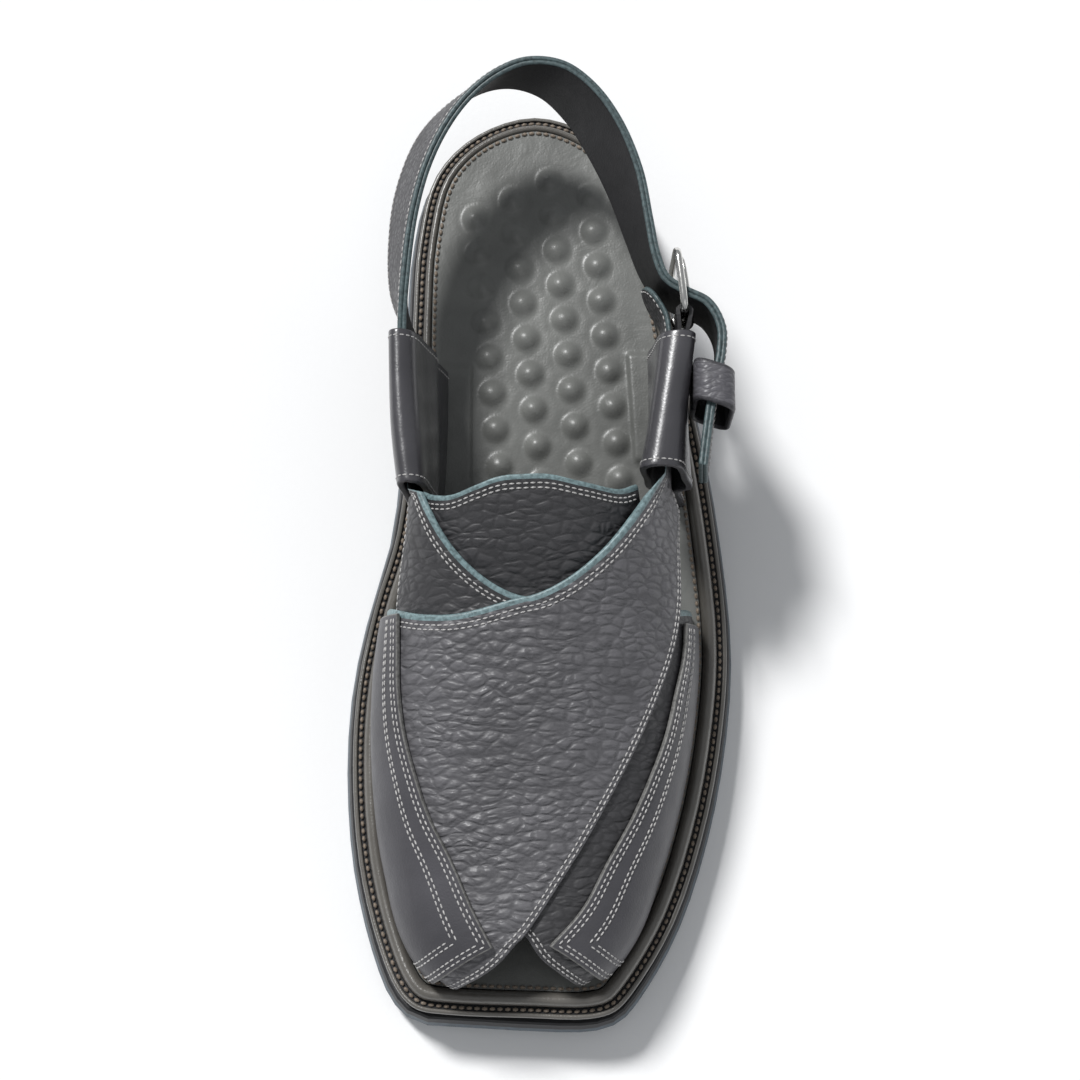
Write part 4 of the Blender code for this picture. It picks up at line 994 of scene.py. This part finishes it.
class CHAPPAL_OT_footbed(bpy.types.Operator):
    """Makes the footbed with its massage knobs and the two pads over the loops' feet"""

    bl_idname = "chappal.footbed"
    bl_label = "Footbed"

    def execute(self, context):
        curve = inset_curve(lambda y: rand_inset(y) + 0.1)
        medial, lateral = sides_of(curve)
        low, high = curve[:, 1].min() + 0.05, curve[:, 1].max() - 0.05
        y = np.linspace(high, low, 330)
        left = np.interp(-y, -medial[:, 1], medial[:, 0])
        right = np.interp(-y, -lateral[:, 1], lateral[:, 0])
        x = left[:, None] + (right - left)[:, None] * np.linspace(0, 1, 136)
        y = np.broadcast_to(y[:, None], x.shape)
        z = underside(y) + FOOTBED_TOP
        bumps = np.zeros_like(z)
        for knob_x, knob_y in knob_places():
            reach = np.hypot(x - knob_x, y - knob_y) / (KNOB_DIAMETER / 2 + KNOB_FILLET)
            dome = (1 - np.clip(reach, 0, 1) ** 2) ** 1.4
            moat = np.exp(-(((reach - 1.15) / 0.24) ** 2))
            bumps = bumps + dome * sizes().knob_height / MM - MOAT_DEPTH * moat
        pad = ease(x, -33, -32) * ease(-x, 20.6, 21.8) * ease(y, 8, 9) * ease(-y, -60, -56)
        slit = 30.9 - 0.061 * (y - 8)
        flap = ease(x - slit, -0.6, 0.5) * ease(y, 27, 29) * ease(-y, -63, -61.5)
        raised = np.clip(pad * PAD_HEIGHT + flap * FLAP_HEIGHT, 0, FLAP_HEIGHT)
        z = z + bumps * (1 - np.clip(raised, 0, 1)) + raised
        top = np.stack([x, y, z], axis=-1)
        under = np.stack([x, y, underside(y) + FOOTBED_TOP - FOOTBED_SKIN], axis=-1)
        leather = [FINISHES["footbed"]] * 4
        footbed, _ = leather_sheet("footbed_cover", top, under, leather, CUT_EDGES)
        settle(footbed, "footbed_leather", "footbed")
        return {"FINISHED"}


# The upper


def wing_grid(side, out, rows=230, columns=120):
    """The outer face of a wing: rows from its loop to the far edge, columns from its top edge."""
    index = 1 if side > 0 else 2
    rear = edge_curve(WING_TOP, index, side, rows)
    front = edge_curve(WING_OUTER, index, side, rows)
    t = np.linspace(0, 1, columns)
    shares = t + 0.25 * t * (1 - t)
    flat = ruled(rear, front, shares)
    body = last_point(flat[..., 0], flat[..., 1], out)
    mouth = float(y_at(loop_table(side)[0][0]))
    heights = WING_TAB_HEIGHT[0] - WING_TAB_HEIGHT[1] * shares
    tabs = []
    for y in (mouth + WING_TAB[0], mouth - WING_TAB[1]):
        tabs.append(loop_axis(side, np.full(columns, y), heights, WING_WALL / 2 * side))
    bridge = [tabs[0] * (1 - t) + tabs[1] * t for t in np.linspace(0, 1, 8)[:-1]]
    reach = np.linspace(0, 1, 12)[:-1, None, None]
    join = tabs[1] * (1 - reach) + body[0] * reach
    return np.concatenate([np.array(bridge), join, body])


def panel_grid(side, out, rows=150, columns=60):
    index = 1 if side < 0 else 2
    inner = edge_curve(PANEL_INNER, index, side, rows)
    foot = np.column_stack([np.full(rows, float(side)), np.linspace(*PANEL_FOOT, rows)])
    shares = np.linspace(0, 1, columns)
    flat = ruled(inner, foot, shares)
    swell = PANEL_TOE_SWELL * 4 * shares * (1 - shares)
    flat[..., 1] += np.linspace(0, 1, rows)[:, None] ** 6 * swell
    return last_point(flat[..., 0], flat[..., 1], out)


def tongue_grid(side, out, rows=150, columns=80):
    rear = edge_curve(TONGUE_REAR, 1, side, rows)
    front = rear.copy()
    front[:, 0] = np.linspace(-TONGUE_FRONT[1], TONGUE_FRONT[1], rows)
    front[:, 1] = TONGUE_FRONT[0]
    flat = ruled(rear, front, np.linspace(0, 1, columns))
    return last_point(flat[..., 0], flat[..., 1], out)


def sewn_sheet(name, grid_of, side, out, wall, finishes, node, strip, rows):
    """A leather sheet, with paint on its first edge if it has a strip, and its rows of
    stitches: (at the last column, distance, first, last)."""
    outer, inner = grid_of(side, out + wall), grid_of(side, out)
    name += "_leather"
    slot = "pebbled_leather" if strip else "smooth_leather"
    edges = (PAINTED_EDGE if strip else CUT_EDGE, CUT_EDGE, CUT_EDGE, CUT_EDGE)
    piece, skin = leather_sheet(name, outer, inner, finishes, edges, (strip, 0, 0, 0))
    settle(piece, slot, node)
    sign = outward_sign(outer, outer - inner)
    paths = []
    for far_edge, distance, first, last in rows:
        grid = skin[:, ::-1] if far_edge else skin
        paths.append(edge_path(grid, -sign if far_edge else sign, distance, first, last))
    if paths:
        seam(name + "_stitches", paths, slot)
    return skin, sign


class CHAPPAL_OT_upper(bpy.types.Operator):
    """Makes the tongue, the two crossed wings and the side panels, with their stitches"""

    bl_idname = "chappal.upper"
    bl_label = "Upper"

    def execute(self, context):
        pebbled = layers("pebbled", "edge", cut="dark edge")
        # The tongue and the medial wing wear the darker copy, partly painted shade.
        shaded = layers("shaded", "edge", cut="dark edge")
        sewn_sheet(
            "tongue", tongue_grid, 1, 0.0, TONGUE_WALL, shaded, "tongue", 1.7,
            ((False, 2.9, 0.02, 0.98), (False, 4.3, 0.02, 0.98)),
        )
        sewn_sheet(
            "medial_wing", wing_grid, -1, MEDIAL_WING_OUT, WING_WALL, shaded, "upper", 1.9,
            ((False, 3.3, 0.04, 0.72), (False, 4.6, 0.04, 0.72), (True, 1.3, 0.04, 0.45),
             (True, 1.4, 0.60, 0.995), (True, 2.8, 0.60, 0.995)),
        )
        sewn_sheet(
            "lateral_wing", wing_grid, 1, LATERAL_WING_OUT, WING_WALL, pebbled, "upper", 2.0,
            ((False, 3.4, 0.04, 0.985), (False, 4.8, 0.04, 0.985), (True, 1.3, 0.04, 0.985),
             (True, 2.8, 0.04, 0.985)),
        )
        smooth = layers("smooth", "raw edge")
        for name, side, out in (
            ("medial_panel", -1, MEDIAL_PANEL_OUT), ("lateral_panel", 1, LATERAL_PANEL_OUT),
        ):
            skin, sign = sewn_sheet(name, panel_grid, side, out, PANEL_WALL, smooth, name, 0, ())
            run = run_of(skin[:, 0])
            toe = skin[::-1].transpose(1, 0, 2)
            paths = []
            for inset, corner in ((1.5, 1.5), (2.9, 2.9), (8.6, 6.6), (10.0, 8.0)):
                widening = 0.62 + 0.38 * run / run[-1] if inset > 5 else 1.0
                last = 1 - corner / run[-1]
                paths.append(edge_path(skin, sign, inset * widening, 0.01, last))
                paths.append(edge_path(toe, sign, corner, inset / run_of(toe[:, 0])[-1], 0.98))
            seam(name + "_stitches", paths, "smooth_leather")
        return {"FINISHED"}


# The loops, the strap and its fittings


def loop_grid(side, rows=60, columns=120):
    """The outer face of a folded loop: rows front to rear, columns over the fold."""
    table = loop_table(side)
    ends = even_curve([(float(y_at(along)), share) for along, _, share in table], rows)
    points = []
    for y, share in ends:
        half = LOOP_SLOT[side] * share / 2
        seam = SEAM_GAP / 2 + LOOP_WALL
        wide = half + LOOP_WALL
        section = [
            (seam, 0.0), (seam, 0.5 * LOOP_SEAM_TOP), (seam, LOOP_SEAM_TOP),
            (wide, LOOP_TUBE_FOOT), (wide, 0.66), (wide, 0.86), (0.90 * wide, 0.93),
            (0.56 * wide, 0.98),
        ]
        whole = [(-b, h) for b, h in section] + [(0.0, 1.0)] + [(b, h) for b, h in section[::-1]]
        span = loop_span(y)
        curve = even_curve(np.array(whole) * (1.0, span), columns)
        across = np.full(columns, y)
        points.append(loop_axis(side, across, curve[:, 1] / span, curve[:, 0]))
    return np.array(points)


def strap_edges(count):
    """Top and foot lines of the heel strap, from the medial loop to its free end."""
    rows = []
    for along in STRAP_IN_LOOP:
        y = float(y_at(along))
        head = loop_axis(-1, y, LOOP_STRAP_TOP)
        foot = loop_axis(-1, y, LOOP_STRAP_TOP - STRAP_WIDTH / loop_span(y))
        rows.append(np.hstack([head, foot]))
    for along, across, low_along, low_across, rise in HEEL_STRAP:
        head = np.array([BALL_WIDTH * across, float(y_at(along)), STRAP_RISE * rise])
        spread = np.array([BALL_WIDTH * low_across - head[0], float(y_at(low_along)) - head[1], 0])
        drop = math.sqrt(max(STRAP_WIDTH**2 - float(spread @ spread), 1.0))
        rows.append(np.hstack([head, head + spread - (0, 0, drop)]))
    edges = even_curve(rows, count)
    return edges[:, :3], edges[:, 3:]


def band(name, tops, feet, thick, centre, node, edge, columns):
    """A band of strap leather between two edge lines, its outer side away from a centre."""
    tangent = np.gradient((tops + feet) / 2, axis=0)
    face = np.cross(tangent, feet - tops)
    face /= np.linalg.norm(face, axis=1)[:, None]
    face = face[:, None, :]
    middle = ruled(tops, feet, np.linspace(0, 1, columns))
    if float((face * (middle - centre)).sum()) < 0:
        face = -face
    outer, inner = middle + face * thick / 2, middle - face * thick / 2
    finishes = layers("strap", "strap edge", "strap lining")
    piece, skin = leather_sheet(name, outer, inner, finishes, [edge] * 4)
    settle(piece, "smooth_leather", node)
    return skin, outward_sign(outer, outer - inner)


class CHAPPAL_OT_straps(bpy.types.Operator):
    """Makes the side loops and the heel strap, with their stitches"""

    bl_idname = "chappal.straps"
    bl_label = "Loops and strap"

    def execute(self, context):
        slot = "smooth_leather"
        for name, side in (("medial_loop", -1), ("lateral_loop", 1)):
            outer = loop_grid(side)
            towards = outer - outer.mean(axis=1, keepdims=True)
            normals = normals_of(outer) * outward_sign(outer, towards)
            inner = outer - normals * LOOP_WALL
            finishes = layers("loop", "dark edge")
            piece, skin = leather_sheet(name + "_leather", outer, inner, finishes, CUT_EDGES)
            settle(piece, slot, name)
            sign = outward_sign(outer, towards)
            front = skin.transpose(1, 0, 2)
            rear = skin[::-1].transpose(1, 0, 2)
            paths = [edge_path(front, -sign, 2.0), edge_path(rear, sign, 2.0)]
            seam(name + "_stitches", paths, slot, scale=0.85)
        skin, sign = band(
            "heel_strap_leather", *strap_edges(520), STRAP_THICK, np.array([2.0, 90.0, 70.0]),
            "heel_strap", DOUBLE_EDGE, 26,
        )
        paths = []
        for grid, turn in ((skin, sign), (skin[:, ::-1], -sign)):
            paths.append(edge_path(grid, turn, 1.9, 0.01, 0.99))
        seam("heel_strap_stitches", paths, slot, scale=0.9)
        return {"FINISHED"}


def rounded_wire(name, node):
    """A smooth copy of a wire solid that stands for it."""
    work = bmesh.new()
    work.from_mesh(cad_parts[node].data)
    bmesh.ops.remove_doubles(work, verts=work.verts, dist=1e-6)
    bmesh.ops.dissolve_limit(
        work, angle_limit=math.radians(1), verts=work.verts, edges=work.edges
    )
    thing = finish_mesh(name, work, [FINISHES["nickel"]])
    change = thing.modifiers.new("round", "SUBSURF")
    change.levels = WIRE_ROUNDING
    change.render_levels = WIRE_ROUNDING
    graph = bpy.context.evaluated_depsgraph_get()
    mesh = bpy.data.meshes.new_from_object(thing.evaluated_get(graph))
    thing.modifiers.clear()
    thing.data = mesh
    shade_mesh(mesh, 55)
    settle(thing, "nickel", node)


def guard_edges(count):
    """Top and foot lines of the guard, the short band between the buckle and the foot."""
    rows = []
    shift = GUARD_THICK / 2 + CLEAR * 2 - LOOP_SLOT[1] / 2
    for along in GUARD_IN_LOOP:
        y = float(y_at(along))
        head = loop_axis(1, y, GUARD_TOP, shift)
        foot = loop_axis(1, y, GUARD_TOP - GUARD_WIDTH / loop_span(y), shift)
        rows.append(np.hstack([head, foot]))
    top = rows[-1][2]
    for along, across in GUARD:
        head = np.array([BALL_WIDTH * across, float(y_at(along)), top])
        rows.append(np.hstack([head, head - (0, 0, GUARD_WIDTH)]))
    edges = even_curve(rows, count)
    tops, feet = edges[:, :3].copy(), edges[:, 3:].copy()
    reach = np.linspace(run_of(tops)[-1], 0, count)
    shrink = np.sqrt(np.clip(1 - (1 - np.clip(reach / 8.0, 0, 1)) ** 2, 0.02, 1))[:, None]
    middle = (tops + feet) / 2
    return middle + (tops - middle) * shrink, middle + (feet - middle) * shrink


def keeper_ring(left, right, low, high, rounding, y):
    """Points round the keeper at y, from its seam on the loop's side."""
    corners = []
    for x, z, start in (
        (left + rounding, low + rounding, 180), (right - rounding, low + rounding, 270),
        (right - rounding, high - rounding, 0), (left + rounding, high - rounding, 90),
    ):
        for angle in np.radians(np.linspace(start, start + 90, 12)):
            corners.append((x + rounding * math.cos(angle), z + rounding * math.sin(angle)))
    seam_place = (left, (low + high) / 2)
    ring = even_points(np.array([seam_place] + corners + [seam_place]), 110)
    lean = KEEPER_SKEW * (ring[:, 0] - left) / (right - left)
    return np.column_stack([ring[:, 0], y - lean, ring[:, 1]])


class CHAPPAL_OT_buckle(bpy.types.Operator):
    """Makes the buckle, its prong, the guard and the keeper, and dresses the anchor strip"""

    bl_idname = "chappal.buckle"
    bl_label = "Buckle"

    def execute(self, context):
        rounded_wire("buckle_wire", "buckle_frame")
        rounded_wire("prong_wire", "buckle_prong")
        # Painted shade: the anchor strip takes the near-black strap lining, so it reads as the
        # shade inside the loop's top.
        dress("buckle_anchor", "strap lining")
        skin, sign = band(
            "guard_leather", *guard_edges(70), GUARD_THICK, np.array([60.0, 60.0, 60.0]),
            "buckle_guard", PAINTED_EDGE, 24,
        )
        seam("guard_stitches", [edge_path(skin, sign, 1.9)], "smooth_leather", scale=0.9)
        low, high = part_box("keeper")
        low, high = np.array(low) / MM, np.array(high) / MM
        start, stop = low[1] + KEEPER_SKEW, high[1]
        outer, inner = [], []
        for y in np.linspace(start, stop, 36):
            swell = 0.25 * math.sin(math.pi * (y - start) / (stop - start))
            box = (low[0] + 0.1, high[0] - 0.1 - swell * 0.4, low[2] + 0.1, high[2] - 0.3 + swell)
            outer.append(keeper_ring(*box, KEEPER_CORNER, y))
            wall = KEEPER_WALL
            box = (box[0] + wall, box[1] - wall, box[2] + wall, box[3] - wall)
            inner.append(keeper_ring(*box, KEEPER_CORNER - wall, y))
        piece, _ = leather_sheet(
            "keeper_leather", np.array(outer), np.array(inner), layers("keeper", "dark edge"),
            [PAINTED_EDGE] * 4,
        )
        settle(piece, "smooth_leather", "keeper")
        return {"FINISHED"}


class CHAPPAL_OT_welt_stitches(bpy.types.Operator):
    """Sews the welt: a coarse row in its channel and a fine row round the footbed"""

    bl_idname = "chappal.welt_stitches"
    bl_label = "Welt stitches"

    def execute(self, context):
        pitch = sizes().welt_pitch / MM
        width = sizes().welt_thread_width / MM
        for name, inset, height, fill, slant in (
            ("welt_stitches", 2.25, WELT_TOP - 0.5, 0.62, 0.1),
            ("footbed_stitches", lambda y: rand_inset(y) + 0.9, FOOTBED_TOP + 0.1, 0.66, 0.0),
        ):
            line = around_sole(inset, height, 900)
            ups = np.broadcast_to((0.0, 0.0, 1.0), line.shape)
            thread_piece(
                name, [(line, ups)], pitch, width, FINISHES["welt thread"], "welt_leather",
                fill, slant,
            )
        return {"FINISHED"}


# The stage


def add_light(name, kind, way, power):
    """A lamp that shines from a direction, given from the shoe."""
    lamp = bpy.data.lights.new(name, kind)
    lamp.energy = power
    thing = bpy.data.objects.new(name, lamp)
    thing.location = way
    thing.rotation_euler = (-Vector(way)).to_track_quat("-Z", "Y").to_euler()
    bpy.context.scene.collection.objects.link(thing)
    return lamp


CAMERA_PLACE = (-0.01038, -0.18065, 0.808)
CAMERA_TARGET = (0.0, 0.0, 0.04)
CAMERA_LENS = 86.4


class CHAPPAL_OT_stage(bpy.types.Operator):
    """Sets the floor, the studio lights and the camera"""

    bl_idname = "chappal.stage"
    bl_label = "Stage"

    def execute(self, context):
        work = bmesh.new()
        bmesh.ops.create_grid(work, x_segments=8, y_segments=8, size=2.5)
        finish, tree, surface, skin = new_finish("Matt studio paper", colours().floor, 0.9)
        grain = add_node(tree, "TexNoise", Vector=skin, Scale=600.0, Detail=2.0)
        raise_grain(tree, surface, grain, 0.00005)
        floor = finish_mesh("studio_floor", work, [finish])
        world = bpy.data.worlds.new("Studio")
        context.scene.world = world
        world.use_nodes = True
        sky = world.node_tree.nodes["Background"]
        sky.inputs["Color"].default_value = (0.93, 0.96, 1.0, 1.0)
        sky.inputs["Strength"].default_value = 0.35
        add_light("key", "SUN", (-0.50, 0.66, 1.05), 3.1).angle = math.radians(11)
        add_light("fill", "AREA", (0.5, -0.7, 1.2), 1.6).size = 1.2
        context.scene.view_settings.view_transform = "Standard"
        lens = bpy.data.cameras.new("camera")
        lens.sensor_width = 36
        lens.lens = CAMERA_LENS
        camera = bpy.data.objects.new("camera", lens)
        place = Vector(CAMERA_PLACE)
        back = (place - Vector(CAMERA_TARGET)).normalized()
        right = Vector((0, 1, 0)).cross(back).normalized()
        turn = Matrix((right, back.cross(right), back)).transposed()
        camera.matrix_world = Matrix.Translation(place) @ turn.to_4x4()
        context.scene.collection.objects.link(camera)
        context.scene.camera = camera
        return {"FINISHED"}


class CHAPPAL_PT_panel(bpy.types.Panel):
    bl_label = "Chappal"
    bl_idname = "CHAPPAL_PT_panel"
    bl_space_type = "VIEW_3D"
    bl_region_type = "UI"
    bl_category = "Chappal"

    def draw(self, context):
        for operator in OPERATORS:
            self.layout.operator(operator.bl_idname)
        for group in (context.scene.chappal_sizes, context.scene.chappal_colours):
            for name in group.__annotations__:
                self.layout.prop(group, name)


OPERATORS = (
    CHAPPAL_OT_sole,
    CHAPPAL_OT_footbed,
    CHAPPAL_OT_upper,
    CHAPPAL_OT_straps,
    CHAPPAL_OT_buckle,
    CHAPPAL_OT_welt_stitches,
    CHAPPAL_OT_stage,
)
CLASSES = (ChappalColours, ChappalSizes, *OPERATORS, CHAPPAL_PT_panel)


def register():
    for kind in CLASSES:
        bpy.utils.register_class(kind)
    bpy.types.Scene.chappal_colours = bpy.props.PointerProperty(type=ChappalColours)
    bpy.types.Scene.chappal_sizes = bpy.props.PointerProperty(type=ChappalSizes)


def unregister():
    del bpy.types.Scene.chappal_sizes
    del bpy.types.Scene.chappal_colours
    for kind in reversed(CLASSES):
        bpy.utils.unregister_class(kind)


def main():
    register()
    make_finishes()
    bpy.ops.chappal.sole()
    bpy.ops.chappal.footbed()
    bpy.ops.chappal.upper()
    bpy.ops.chappal.straps()
    bpy.ops.chappal.buckle()
    bpy.ops.chappal.welt_stitches()
    bpy.ops.chappal.stage()


if __name__ == "__main__":
    main()
